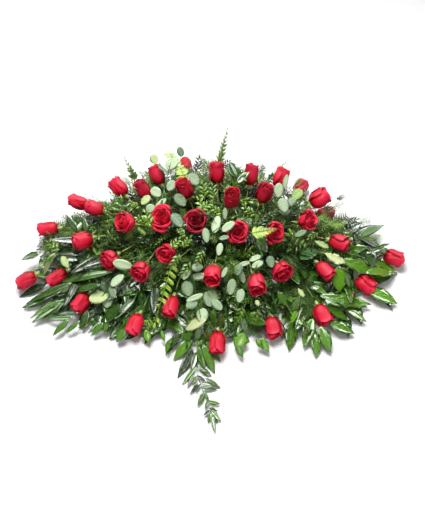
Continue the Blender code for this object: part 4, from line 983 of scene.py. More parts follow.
def sprig_tree() -> bpy.types.NodeTree:
    """Builds the tree that turns lines to thin stems with a template all along their outer part.

    Returns:
        The tree.
    """
    inputs = (
        Socket("Leaf", "NodeSocketObject"),
        Socket("Finish", "NodeSocketMaterial"),
        Socket("Stem Finish", "NodeSocketMaterial"),
        Socket("Blooms", "NodeSocketObject"),
    )
    sizes = ("Pitch", "Start", "Lean", "Length", "Width", "Stem Radius", "Clearance")
    inputs += tuple(Socket(size, "NodeSocketFloat") for size in sizes)
    tree, start, end = start_tree("sprigs_along_stems", (*inputs, Socket("Seed", "NodeSocketInt")))
    lines = add_node(tree, "GeometryNodeMeshToCurve", {0: start.outputs["Geometry"]})
    smooth = add_node(tree, "GeometryNodeCurveSplineType", {0: lines.outputs[0]}, spline_type="CATMULL_ROM")
    path = add_node(
        tree, "GeometryNodeResampleCurve", {"Curve": smooth.outputs[0], "Length": start.outputs["Pitch"]}, mode="LENGTH"
    )
    share = add_node(tree, "GeometryNodeSplineParameter").outputs["Factor"]
    taper = add_node(tree, "ShaderNodeMapRange", {"Value": share, 1: 0.0, 2: 1.0, 3: 1.0, 4: 0.35}).outputs[0]
    radius = add_node(tree, "GeometryNodeSetCurveRadius", {"Curve": path.outputs[0], "Radius": taper})
    section = {"Resolution": 4, "Radius": start.outputs["Stem Radius"]}
    ring = add_node(tree, "GeometryNodeCurvePrimitiveCircle", section, mode="RADIUS")
    swept = {"Curve": radius.outputs[0], "Profile Curve": ring.outputs[0], "Fill Caps": True}
    stems = add_node(tree, "GeometryNodeCurveToMesh", swept)
    covered = {"Geometry": stems.outputs[0], "Material": start.outputs["Stem Finish"]}
    green = add_node(tree, "GeometryNodeSetMaterial", covered)

    tangent = add_node(tree, "GeometryNodeInputTangent").outputs[0]
    index = add_node(tree, "GeometryNodeInputIndex").outputs[0]
    side = add_node(tree, VECTOR, {0: tangent, 1: (0.0, 0.0, 1.0)}, operation="CROSS_PRODUCT").outputs[0]
    side = add_node(tree, VECTOR, {0: side, 1: (0.02, 0.0, 0.0)}, operation="ADD").outputs[0]
    side = add_node(tree, VECTOR, {0: side}, operation="NORMALIZE").outputs[0]
    wobble = add_node(
        tree, "FunctionNodeRandomValue", {2: -0.55, 3: 0.55, "Seed": start.outputs["Seed"]}, data_type="FLOAT"
    ).outputs[1]
    angle = add_node(tree, MATH, (index, math.pi * 0.93, wobble), operation="MULTIPLY_ADD").outputs[0]
    out = add_node(
        tree, "ShaderNodeVectorRotate", {"Vector": side, "Axis": tangent, "Angle": angle}, rotation_type="AXIS_ANGLE"
    ).outputs[0]
    cosine = add_node(tree, MATH, (start.outputs["Lean"],), operation="COSINE").outputs[0]
    sine = add_node(tree, MATH, (start.outputs["Lean"],), operation="SINE").outputs[0]
    forward = add_node(tree, VECTOR, {0: tangent, "Scale": cosine}, operation="SCALE").outputs[0]
    outward = add_node(tree, VECTOR, {0: out, "Scale": sine}, operation="SCALE").outputs[0]
    heading = add_node(tree, VECTOR, {0: forward, 1: outward}, operation="ADD").outputs[0]
    tilt = add_node(
        tree,
        "FunctionNodeRandomValue",
        {0: (-0.5, -0.8, 0.7), 1: (0.5, 0.2, 1.3), "Seed": start.outputs["Seed"]},
        data_type="FLOAT_VECTOR",
    ).outputs[0]
    turn = add_node(
        tree, "FunctionNodeAxesToRotation", {0: heading, 1: tilt}, primary_axis="Y", secondary_axis="Z"
    ).outputs[0]
    vary = add_node(
        tree,
        "FunctionNodeRandomValue",
        {2: 0.75, 3: 1.15, "Seed": add_node(tree, MATH, (start.outputs["Seed"], 7), operation="ADD").outputs[0]},
        data_type="FLOAT",
    ).outputs[1]
    fade = add_node(tree, "ShaderNodeMapRange", {"Value": share, 1: 0.5, 2: 1.0, 3: 1.0, 4: 0.6}).outputs[0]
    size = add_node(tree, MATH, (vary, fade), operation="MULTIPLY").outputs[0]
    length = add_node(tree, MATH, (size, start.outputs["Length"]), operation="MULTIPLY").outputs[0]
    width = add_node(tree, MATH, (size, start.outputs["Width"]), operation="MULTIPLY").outputs[0]
    scale = add_node(tree, "ShaderNodeCombineXYZ", {0: width, 1: length, 2: length}).outputs[0]
    blooms = add_node(tree, "GeometryNodeObjectInfo", {"Object": start.outputs["Blooms"]})
    chosen = add_node(tree, MATH, (share, start.outputs["Start"]), operation="GREATER_THAN").outputs[0]
    place = add_node(tree, "GeometryNodeInputPosition").outputs[0]
    # A leaf is left out where its foot, middle or tip would come too near to a bloom.
    for part in (0.0, 0.5, 1.0):
        ahead = add_node(tree, MATH, (length, part), operation="MULTIPLY").outputs[0]
        reach = add_node(tree, VECTOR, {0: heading, "Scale": ahead}, operation="SCALE").outputs[0]
        spot = add_node(tree, VECTOR, {0: place, 1: reach}, operation="ADD").outputs[0]
        near = add_node(
            tree, "GeometryNodeProximity", {0: blooms.outputs["Geometry"], 2: spot}, target_element="POINTS"
        ).outputs["Distance"]
        clear = add_node(tree, MATH, (near, start.outputs["Clearance"]), operation="GREATER_THAN").outputs[0]
        chosen = add_node(tree, MATH, (chosen, clear), operation="MULTIPLY").outputs[0]
    leaf = add_node(tree, "GeometryNodeObjectInfo", {"Object": start.outputs["Leaf"]})
    # Painted shade: leaves near the stem's foot lie deep in the mound and are drawn darker.
    foot_shade = add_node(tree, "ShaderNodeMapRange", {"Value": share, 1: 0.3, 2: 1.0, 3: 0.10, 4: 1.15}).outputs[0]
    tint = add_node(
        tree,
        "FunctionNodeRandomValue",
        {2: 0.0, 3: 1.0, "Seed": add_node(tree, MATH, (start.outputs["Seed"], 3), operation="ADD").outputs[0]},
        data_type="FLOAT",
    ).outputs[1]
    tint = add_node(tree, MATH, (tint, foot_shade), operation="MULTIPLY").outputs[0]
    tinted = add_node(
        tree,
        "GeometryNodeStoreNamedAttribute",
        {"Geometry": path.outputs[0], "Name": "tint", "Value": tint},
        data_type="FLOAT",
    )
    placed = add_node(
        tree,
        "GeometryNodeInstanceOnPoints",
        {
            "Points": tinted.outputs[0],
            "Selection": chosen,
            "Instance": leaf.outputs["Geometry"],
            "Rotation": turn,
            "Scale": scale,
        },
    )
    real = add_node(tree, "GeometryNodeRealizeInstances", {0: placed.outputs[0]})
    covered = {"Geometry": real.outputs[0], "Material": start.outputs["Finish"]}
    dressed = add_node(tree, "GeometryNodeSetMaterial", covered)
    both = add_node(tree, "GeometryNodeJoinGeometry")
    tree.links.new(green.outputs[0], both.inputs[0])
    tree.links.new(dressed.outputs[0], both.inputs[0])
    tree.links.new(both.outputs[0], end.inputs[0])
    return tree


@dataclass
class Nursery:
    """Keeps the templates and the trees, and repeats them."""

    placing: bpy.types.NodeTree = field(default_factory=placing_tree)
    sprigs: bpy.types.NodeTree = field(default_factory=sprig_tree)
    templates: dict[str, bpy.types.Object] = field(default_factory=dict)
    blooms: bpy.types.Object | None = None

    def template(self, form: Form) -> bpy.types.Object:
        """Returns the template of a form, built once."""
        if form.name not in self.templates:
            self.templates[form.name] = form.template()
        return self.templates[form.name]

    def tint_and_shade_of(self, place: LeafPlace, draw: random.Random) -> float:
        """Returns a leaf's tint: its own, or one by chance with painted shade that darkens it deep in the mound."""
        if place.tint is not None:
            return place.tint
        out = Dome().swell_at(place.root + place.heading * place.length)
        return draw.random() * kept((out - 0.55) / 0.45, 0.15, 1.0)

    def placed(self, name: str, form: Form, places: list[LeafPlace], draw: random.Random) -> bpy.types.Object:
        """Puts one leaf at each place.

        Args:
            name: The result's name.
            form: The leaf's form.
            places: Where the leaves go.
            draw: Gives each leaf its tint.

        Returns:
            The leaves as a plain mesh.
        """
        points = new_object(name, [place.root for place in places], [])
        store(points.data, "heading", "FLOAT_VECTOR", [place.heading for place in places])
        store(points.data, "facing", "FLOAT_VECTOR", [place.facing for place in places])
        sizes = [Vector((place.width, place.length, place.length)) for place in places]
        store(points.data, "size", "FLOAT_VECTOR", sizes)
        store(points.data, "tint", "FLOAT", [self.tint_and_shade_of(place, draw) for place in places])
        values = {"Leaf": self.template(form), "Finish": form.finish.material()}
        return grow(points, self.placing, values, name)

    def along(self, name: str, form: Form, paths: list[list[Vector]], **values: object) -> bpy.types.Object:
        """Grows sprigs along paths.

        Args:
            name: The result's name.
            form: The leaf's form.
            paths: The stems' points.
            values: The tree's other inputs by name, with _ for a space.

        Returns:
            The sprigs as a plain mesh.
        """
        points = [point for path in paths for point in path]
        edges, first = [], 0
        for path in paths:
            edges += [(first + k, first + k + 1) for k in range(len(path) - 1)]
            first += len(path)
        lines = new_object(name, points, [], edges)
        inputs = {key.replace("_", " ").title(): value for key, value in values.items()}
        inputs |= {"Leaf": self.template(form), "Finish": form.finish.material()}
        inputs |= {"Stem Finish": GREEN_STEM.material(), "Blooms": self.blooms}
        return grow(lines, self.sprigs, inputs, name)

    def close(self) -> None:
        """Removes the templates."""
        for made in [*self.templates.values(), self.blooms]:
            if made:
                bpy.data.objects.remove(made)


# The mound and the view


@dataclass(frozen=True)
class Dome:
    """The low mound that the blooms lie on."""

    length: float = 0.50
    depth: float = 0.27
    height: float = 0.205
    point: float = 1.5

    def place(self, x: float, degrees: float, swell: float) -> Vector:
        """Finds a point of the mound.

        Args:
            x: Along it.
            degrees: 0 at the front, 90 on top, 180 behind.
            swell: 1 on its surface, less inside.

        Returns:
            The point.
        """
        ring = max(0.0, 1 - (abs(x) / (self.length * max(swell, 0.01))) ** self.point) ** (1 / self.point) * swell
        turn = math.radians(degrees)
        return Vector((x, -self.depth * ring * math.cos(turn), self.height * ring * math.sin(turn)))

    def swell_at(self, spot: Vector) -> float:
        """Tells how far out a point is: 1 on the mound's surface, more outside it."""
        ring = math.hypot(spot.y / self.depth, spot.z / self.height)
        return ((abs(spot.x) / self.length) ** self.point + ring**self.point) ** (1 / self.point)


@dataclass(frozen=True)
class Lamp:
    """A soft square lamp that points at the object. A card only shows as glints on waxy leaves."""

    name: str
    place: tuple[float, float, float]
    size: float
    watts: float
    card: bool = False

    def hang(self) -> None:
        """Adds the lamp to the scene."""
        data = bpy.data.lights.new(self.name, "AREA")
        data.shape = "SQUARE"
        data.size = self.size
        data.energy = self.watts
        made = bpy.data.objects.new(self.name, data)
        bpy.context.scene.collection.objects.link(made)
        made.location = self.place
        made.visible_diffuse = not self.card
        made.rotation_euler = (Vector((0, 0, 0.08)) - Vector(self.place)).to_track_quat("-Z", "Y").to_euler()


@dataclass(frozen=True)
class Studio:
    """The camera, the soft light and the pale floor."""

    lamps: tuple[Lamp, ...] = (
        Lamp("key", (-0.25, 0.05, 2.5), 1.0, 74.0),
        Lamp("front", (0.5, -1.3, 2.0), 0.4, 5.0),
        Lamp("card", (0.1, 1.3, 1.7), 1.3, 110.0, True),
        Lamp("right_card", (1.7, 0.7, 1.5), 0.8, 60.0, True),
        Lamp("left_card", (-1.7, 0.7, 1.5), 0.8, 24.0, True),
    )
    sky_strength: float = 0.22
    elevation: float = 55.0
    distance: float = 2.1
    pixels_per_metre: float = 375.0
    picture_height: float = 515.0
    picture_width: float = 425.0
    sensor: float = 36.0
    aim_drop: float = 12.5
    skyline: tuple[tuple[float, float], ...] = (
        (12, 256), (50, 234), (95, 210), (125, 190), (150, 175), (205, 163), (262, 171), (297, 191), (325, 213),
        (350, 231), (380, 258), (398, 268),
    )

    def frame_of(self) -> tuple[Vector, Vector, Vector]:
        """Works out the view.

        Returns:
            The eye, the direction it looks in, and the picture's upward direction.
        """
        turn = math.radians(self.elevation)
        picture_up = Vector((0.0, math.sin(turn), math.cos(turn)))
        forward = Vector((0.0, math.cos(turn), -math.sin(turn)))
        return -picture_up * (self.aim_drop / self.pixels_per_metre) - forward * self.distance, forward, picture_up

    def on_level(self, px: float, py: float, height: float) -> Vector:
        """Finds the point at a height that is seen at a place in the picture.

        Args:
            px: The picture's column.
            py: The picture's row.
            height: The height above the table.

        Returns:
            The point.
        """
        eye, forward, picture_up = self.frame_of()
        right = (px - self.picture_width / 2) / self.pixels_per_metre
        up = (self.picture_height / 2 - py) / self.pixels_per_metre
        ray = forward * self.distance + Vector((right, 0.0, 0.0)) + picture_up * up
        return eye + ray * ((height - eye.z) / ray.z)

    def on_mound(self, px: float, py: float, swell: float) -> Vector:
        """Finds the point over the mound that is seen at a place in the picture.

        Args:
            px: The picture's column.
            py: The picture's row.
            swell: How far out of the mound it is.

        Returns:
            The first point that deep along the line of sight, or the one nearest to the mound.
        """
        levels = [0.225 - 0.005 * k for k in range(42)]
        spots = [self.on_level(px, py, level) for level in levels]
        for spot in spots:
            if Dome().swell_at(spot) <= swell:
                return spot
        return min(spots, key=Dome().swell_at)

    def seen_leaf(self, spot: Vector, row: tuple, draw: random.Random) -> LeafPlace:
        """Lays a leaf across the line of sight, a little tilted.

        Args:
            spot: Where its middle is.
            row: Its foot and tip in the picture, its width in picture points and its tint.
            draw: Gives the tilt.

        Returns:
            The leaf's place.
        """
        eye, forward, picture_up = self.frame_of()
        scale = (spot - eye).dot(forward) / self.distance / self.pixels_per_metre
        foot_x, foot_y, tip_x, tip_y, width, tint = row
        reach = Vector((tip_x - foot_x, 0.0, 0.0)) * scale + picture_up * ((foot_y - tip_y) * scale)
        roll = Quaternion(reach.normalized(), draw.uniform(-0.28, 0.28))
        tilt = roll @ Quaternion(reach.cross(forward), draw.uniform(-0.25, 0.25))
        heading, facing = tilt @ reach.normalized(), tilt @ -forward
        return LeafPlace(spot - reach / 2, heading, facing, reach.length * 1.04, width * scale * 1.04, tint=tint)

    def low_leaf(self, row: tuple, foot_height: float, tip_height: float, draw: random.Random) -> LeafPlace:
        """Lays a leaf low over the table.

        Args:
            row: Its foot and tip in the picture, its width in picture points and its tint.
            foot_height: Its foot's height over the table.
            tip_height: Its tip's height.
            draw: Gives its roll.

        Returns:
            The leaf's place.
        """
        foot, tip = self.on_level(row[0], row[1], foot_height), self.on_level(row[2], row[3], tip_height)
        reach = tip - foot
        facing, _ = around(reach, Vector((draw.uniform(-0.25, 0.25), draw.uniform(-0.35, 0.05), 1.0)))
        return LeafPlace(foot, reach.normalized(), facing, reach.length, row[4] / self.pixels_per_metre, tint=row[5])

    def over_skyline(self, spot: Vector) -> bool:
        """Tells whether a point shows above the greenery's upper edge in the picture."""
        eye, forward, picture_up = self.frame_of()
        scale = self.pixels_per_metre * self.distance / (spot - eye).dot(forward)
        px = self.picture_width / 2 + spot.x * scale
        py = self.picture_height / 2 - (spot - eye).dot(picture_up) * scale
        for (x, y), (next_x, next_y) in zip(self.skyline, self.skyline[1:]):
            if x <= px < next_x:
                return py < y + (next_y - y) * (px - x) / (next_x - x)
        return False

    def camera(self) -> None:
        """Puts the camera where the photograph was taken from."""
        turn = math.radians(self.elevation)
        data = bpy.data.cameras.new("camera")
        data.sensor_width = self.sensor
        data.lens = self.sensor * self.distance * self.pixels_per_metre / self.picture_height
        data.clip_start, data.clip_end = 0.05, 50.0
        made = bpy.data.objects.new("camera", data)
        bpy.context.scene.collection.objects.link(made)
        made.location = self.frame_of()[0]
        made.rotation_euler = (math.pi / 2 - turn, 0.0, 0.0)
        bpy.context.scene.camera = made

    def build(self) -> None:
        """Sets up the studio."""
        self.camera()
        bpy.context.scene.view_settings.view_transform = "Standard"
        for lamp in self.lamps:
            lamp.hang()
        world = bpy.data.worlds.new("studio")
        bpy.context.scene.world = world
        world.use_nodes = True
        sky = world.node_tree.nodes["Background"]
        sky.inputs[0].default_value = linear("ffffff")
        sky.inputs[1].default_value = self.sky_strength
        world.cycles_visibility.glossy = False
        corners = [Vector((x * 9, y * 9, -0.0005)) for x, y in ((-1, -1), (1, -1), (1, 1), (-1, 1))]
        floor = new_object("floor", corners, [(0, 1, 2, 3)])
        # A matt pale paper floor.
        paper = SurfaceFinish("paper_floor", "f4f4f4", "fafafa", 40.0, 0.9, 0.02)
        floor.data.materials.append(paper.material())


# Roses


@dataclass(frozen=True)
class Petals:
    """One whorl of petals: sizes are shares of the bloom's radius and length, from its first petal to its last."""

    count: int
    radius: tuple[float, float]
    height: tuple[float, float]
    span: float
    lip: tuple[float, float]
    close: float


@dataclass
class RoseBloom:
    """A red rose: petals wound round its axis, from the tight heart to the turned outer ones."""

    number: int
    openness: float
    rows: int = 8
    columns: int = 7
    thickness: float = 0.00045
    base: Vector = field(init=False)
    axis: Vector = field(init=False)
    length: float = field(init=False)
    radius: float = field(init=False)

    def __post_init__(self) -> None:
        """Reads where the bloom stands from its CAD node, whose base and heart have the most neighbours."""
        node = CadNode(f"bloom_{self.number:02d}")
        ends = sorted(node.work.verts, key=lambda v: len(v.link_edges))[-2:]
        rings = [sum((c.co for c in node.ring(v)), Vector()) / len(v.link_edges) for v in ends]
        if (rings[0] - ends[0].co).dot(ends[1].co - ends[0].co) < 0:
            ends.reverse()
        self.base = ends[0].co.copy()
        reach = ends[1].co - self.base
        self.axis = reach.normalized()
        self.length = reach.length / 0.9
        arms = [c.co - self.base for c in node.ring(ends[0])]
        self.radius = 2 * sum((arm - self.axis * arm.dot(self.axis)).length for arm in arms) / len(arms)
        node.work.free()

    @property
    def bud(self) -> bool:
        """Tells whether the rose is still a bud."""
        return self.openness < 0.35

    @property
    def foot(self) -> float:
        """Returns how wide a petal is at its foot, as a share; a bud is a barrel."""
        return 0.52 if self.bud else 0.30

    @property
    def shoulder(self) -> float:
        """Returns how far up the bloom is at its full width."""
        return 0.34 if self.bud else 0.46

    @property
    def overlap(self) -> float:
        """Returns how far a petal's one side edge stands out over the next."""
        return 0.068 if self.bud else 0.060

    def whorls(self) -> tuple[Petals, ...]:
        """Returns the whorls, inner first, for how far the bloom is open."""
        o = self.openness
        if self.bud:
            return (
                Petals(4, (0.16, 0.34), (0.94, 0.95), 210.0, (0.0, 0.02), 0.20),
                Petals(5, (0.40, 0.66), (0.95, 0.98), 165.0, (0.03, 0.06), 0.12),
                Petals(6, (0.74, 0.93), (1.00, 0.90), 122.0, (0.06, 0.13), 0.13),
            )
        return (
            Petals(5, (0.10, 0.30), (0.86, 0.90), 220.0, (0.0, 0.02), 0.30),
            Petals(6, (0.36, 0.64), (0.93, 0.93), 160.0, (0.04, 0.08), 0.12 - 0.06 * o),
            Petals(4 + round(3 * o), (0.72, 1.00), (0.93, 0.84 - 0.12 * o), 128.0, (0.10, 0.18 + 0.06 * o), 0.02),
        )

    def petal(self, whorl: Petals, share: float, turn: float, draw: random.Random) -> list[list[Vector]]:
        """Lays out one petal.

        Args:
            whorl: Its whorl.
            share: 0 for the whorl's first petal, 1 for its last.
            turn: Where it stands round the axis.
            draw: Gives small differences.

        Returns:
            A grid of points, in the bloom's own directions.
        """
        widest, top, lip = (a + (b - a) * share for a, b in (whorl.radius, whorl.height, whorl.lip))
        widest = widest * self.radius
        top = top * self.length * draw.uniform(0.97, 1.02)
        lip = lip * self.radius * draw.uniform(0.7, 1.3)
        span = math.radians(whorl.span) * draw.uniform(0.92, 1.08)
        phase = draw.uniform(0, math.tau)
        tilt = draw.uniform(-0.03, 0.05)
        up, side = around(self.axis)
        grid = []
        for row in range(self.rows):
            v = row / (self.rows - 1)
            v = 1 - (1 - v) ** 1.25
            narrow = 0.45 + 0.55 * math.sin(math.pi / 2 * min(v / 0.6, 1.0))
            narrow *= 1 - 0.40 * max(0.0, (v - 0.70) / 0.30) ** 2.2
            swell = self.foot + (1 - self.foot) * math.sin(math.pi / 2 * min(v / self.shoulder, 1.0))
            swell -= whorl.close * max(0.0, (v - 0.48) / 0.52) ** 1.6
            curl = max(0.0, (v - 0.74) / 0.26) ** 2
            line = []
            for column in range(self.columns):
                u = 2 * column / (self.columns - 1) - 1
                angle = turn + u * span / 2 * narrow
                reach = widest * (swell + self.overlap * u + tilt * v) + lip * curl * (1 + 0.25 * u * u)
                reach += self.radius * 0.018 * v * v * math.sin(2.2 * u + phase)
                rise = top * (v - 0.10 * v**3 * abs(u) ** 2.4) - lip * 0.55 * curl * curl * (1 + 0.8 * u * u)
                line.append(self.base + self.axis * rise + spoke_at(up, side, angle) * reach)
            grid.append(line)
        return grid

    def build(self, petal_finish: bpy.types.Material) -> bpy.types.Object:
        """Builds the bloom.

        Args:
            petal_finish: The petals' material.

        Returns:
            The finished piece.
        """
        draw = random.Random(SEED + self.number)
        points: list[Vector] = []
        faces: list[tuple] = []
        places: list[Vector] = []
        whorls = self.whorls()
        total = sum(whorl.count for whorl in whorls)
        number = 0
        for whorl in whorls:
            for k in range(whorl.count):
                turn = self.number * BLOOM_TURN + PETAL_TURN * number + draw.uniform(-0.15, 0.15)
                grid = self.petal(whorl, k / max(1, whorl.count - 1), turn, draw)
                corners, sides = thick_sheet(grid, self.thickness)
                first = len(points)
                points += corners
                faces += [tuple(first + corner for corner in face) for face in sides]
                depth = number / (total - 1)
                for _ in range(2):
                    for row in range(self.rows):
                        for column in range(self.columns):
                            u = 2 * column / (self.columns - 1) - 1
                            places.append(Vector((u, row / (self.rows - 1), depth)))
                number += 1
        made = new_object(f"rose_{self.number:02d}", points, faces)
        store(made.data, "petal", "FLOAT_VECTOR", places)
        store(made.data, "tone", "FLOAT", [TONES[self.number - 1]] * len(points))
        made.data.materials.append(petal_finish)
        bloom = plain_mesh(made, f"rose_{self.number:02d}")
        bloom.data.shade_smooth()
        hand_over(bloom, "rose_petal", f"bloom_{self.number:02d}")
        return bloom


@dataclass
class RoseStems:
    """One group of rose stems with hips, sepals and a few leaves."""

    group: str
    blooms: list[RoseBloom]
    nursery: Nursery
    hip: tuple[tuple[float, float], ...] = ((-0.0125, 0.0026), (-0.009, 0.0042), (-0.004, 0.0052), (0.001, 0.0050))
    # How far from a bloom a stem is drawn lighter; it grows darker further off.
    fresh: float = 0.075
    sepal_length: float = 0.017
    sepal_width: float = 0.0062

    def hip_mesh(self, bloom: RoseBloom, points: list[Vector], faces: list[tuple]) -> None:
        """Adds the swollen hip below a bloom.

        Args:
            bloom: The bloom.
            points: Corners so far, added to.
            faces: Faces so far, added to.
        """
        sides = 8
        up, side = around(bloom.axis)
        first = len(points)
        for height, radius in self.hip:
            for k in range(sides):
                turn = math.tau * k / sides
                points.append(bloom.base + bloom.axis * height + spoke_at(up, side, turn) * radius)
        for row in range(len(self.hip) - 1):
            for k in range(sides):
                a, b = first + row * sides + k, first + row * sides + (k + 1) % sides
                faces.append((a, b, b + sides, a + sides))
        last = first + (len(self.hip) - 1) * sides
        faces.append(tuple(last + k for k in range(sides)))
        faces.append(tuple(first + k for k in reversed(range(sides))))

    def build(self) -> bpy.types.Object:
        """Builds the stems.

        Returns:
            The finished piece.
        """
        draw = random.Random(SEED + len(self.group))
        name = f"rose_stems_{self.group}"
        node = CadNode(name)
        leaves = node.leaves()
        mine, sepals = [], []
        for bloom in self.blooms:
            near = [v for v in node.work.verts if (v.co - bloom.base).length < 0.0225]
            star = [v for v in near if (v.co - bloom.base).dot(bloom.axis) > -0.0050]
            if not star:
                continue
            node.taken |= set(star)
            mine.append(bloom)
            up, side = around(bloom.axis)
            for k in range(5):
                turn = bloom.number * BLOOM_TURN + math.tau * k / 5 + draw.uniform(-0.2, 0.2)
                spoke = spoke_at(up, side, turn)
                drop = draw.uniform(-0.5, 0.5)
                heading = (spoke - bloom.axis * drop).normalized()
                length = self.sepal_length * draw.uniform(0.8, 1.2)
                root = bloom.base - bloom.axis * 0.001 + spoke * 0.0035
                sepals.append(LeafPlace(root, heading, bloom.axis, length, self.sepal_width))
        points: list[Vector] = []
        faces: list[tuple] = []
        for bloom in mine:
            self.hip_mesh(bloom, points, faces)
        hips = new_object("hips", points, faces)
        hips.data.materials.append(ROSE_GROWTH.material())
        stems = node.bare_stems("stems", 0.0009)
        stems.data.materials.append(ROSE_STEM.material())
        near = [min((vertex.co - bloom.base).length for bloom in self.blooms) for vertex in stems.data.vertices]
        store(stems.data, "tint", "FLOAT", [1.0 - reach / self.fresh for reach in near])
        parts = [stems, hips, self.nursery.placed("sepals", SEPAL_FORM, sepals, draw)]
        if leaves:
            parts.append(self.nursery.placed("leaves", ROSE_LEAF_FORM, leaves, draw))
        return finished(f"stems_{self.group}", parts, "rose_green", name)


# Greens


@dataclass
class Greens:
    """One share of the greens: the CAD model's leaves and twigs in full form on their stems."""

    node: str
    nursery: Nursery
    shortest_wisp: float = 0.009
    low: float = 0.055
    # A leaf wider than the first share of its length is a lemon leaf, and one narrower than the second a lance leaf.
    ratios: tuple[float, float] = (0.52, 0.30)
    broad_length: float = 0.068

    def form_of(self, place: LeafPlace) -> LeafForm:
        """Returns the form of a leaf, by how wide it is for its length."""
        ratio = place.width / place.length
        if ratio > self.ratios[0]:
            return LEMON_FORM
        if ratio < self.ratios[1]:
            return LANCE_FORM
        return BROAD_FORM if place.length > self.broad_length or not place.small else RUSCUS_FORM

    def forms_of(self, place: LeafPlace, draw: random.Random) -> list:
        """Chooses what grows where the CAD model has a leaf: high up mostly fern fronds and small-leaved twigs.

        Args:
            place: The leaf's place.
            draw: Makes the choice.

        Returns:
            Pairs of a form and its place.
        """
        form = self.form_of(place)
        view = Studio()
        over = view.over_skyline(place.root + place.heading * place.length)
        if place.root.z < self.low or (form is not LEMON_FORM and not over):
            return [(form, place)]
        choice = draw.random()
        if choice < 0.06 and not over:
            return [(form, place)]
        across = place.heading.cross(place.facing)
        made = []
        for side in (-1, 0, 1):
            heading = (place.heading + across * (0.32 * side)).normalized()
            facing = (place.facing + across * draw.uniform(-0.6, 0.6)).normalized()
            length = place.length * (1.0 if side == 0 else 0.86)
            tips = ((share, place.root + heading * (length * share)) for share in (1.0, 0.8, 0.6))
            length *= next((share for share, tip in tips if not view.over_skyline(tip)), 0.4)
            part = LeafPlace(place.root, heading, facing, length, length * 0.9)
            if self.node == "greens_back":
                kind = FINE_FROND if choice < 0.75 else BRIGHT_SPRIG
            else:
                kind = FERN_BRUSH if choice < 0.34 else RUSCUS_SPRIG if choice < 0.78 else BRIGHT_SPRIG
            made.append((kind, part))
        return made

    def build(self) -> bpy.types.Object:
        """Builds the share.

        Returns:
            The finished piece.
        """
        draw = random.Random(SEED + 31 * len(self.node))
        node = CadNode(self.node)
        by_form: dict[str, tuple[Form, list[LeafPlace]]] = {}
        leaves = node.leaves()
        for place in leaves:
            for form, part in self.forms_of(place, draw):
                by_form.setdefault(form.name, (form, []))[1].append(part)
        twigs = node.twigs()
        stems = node.bare_stems("stems")
        stems.data.materials.append(GREEN_STEM.material())
        parts = [stems]
        for form, places in by_form.values():
            parts.append(self.nursery.placed(form.name, form, places, draw))
        fronds = [
            LeafPlace(t.root, t.heading, t.facing, t.length, 0.6 * t.length)
            for t in twigs
            if t.length > self.shortest_wisp
        ]
        if fronds:
            parts.append(self.nursery.placed("fronds", FINE_FROND, fronds, draw))
        log.info("%s: %d leaves and %d twigs read", self.node, len(leaves), len(twigs))
        return finished(f"{self.node}_foliage", parts, "leaf_green", self.node)


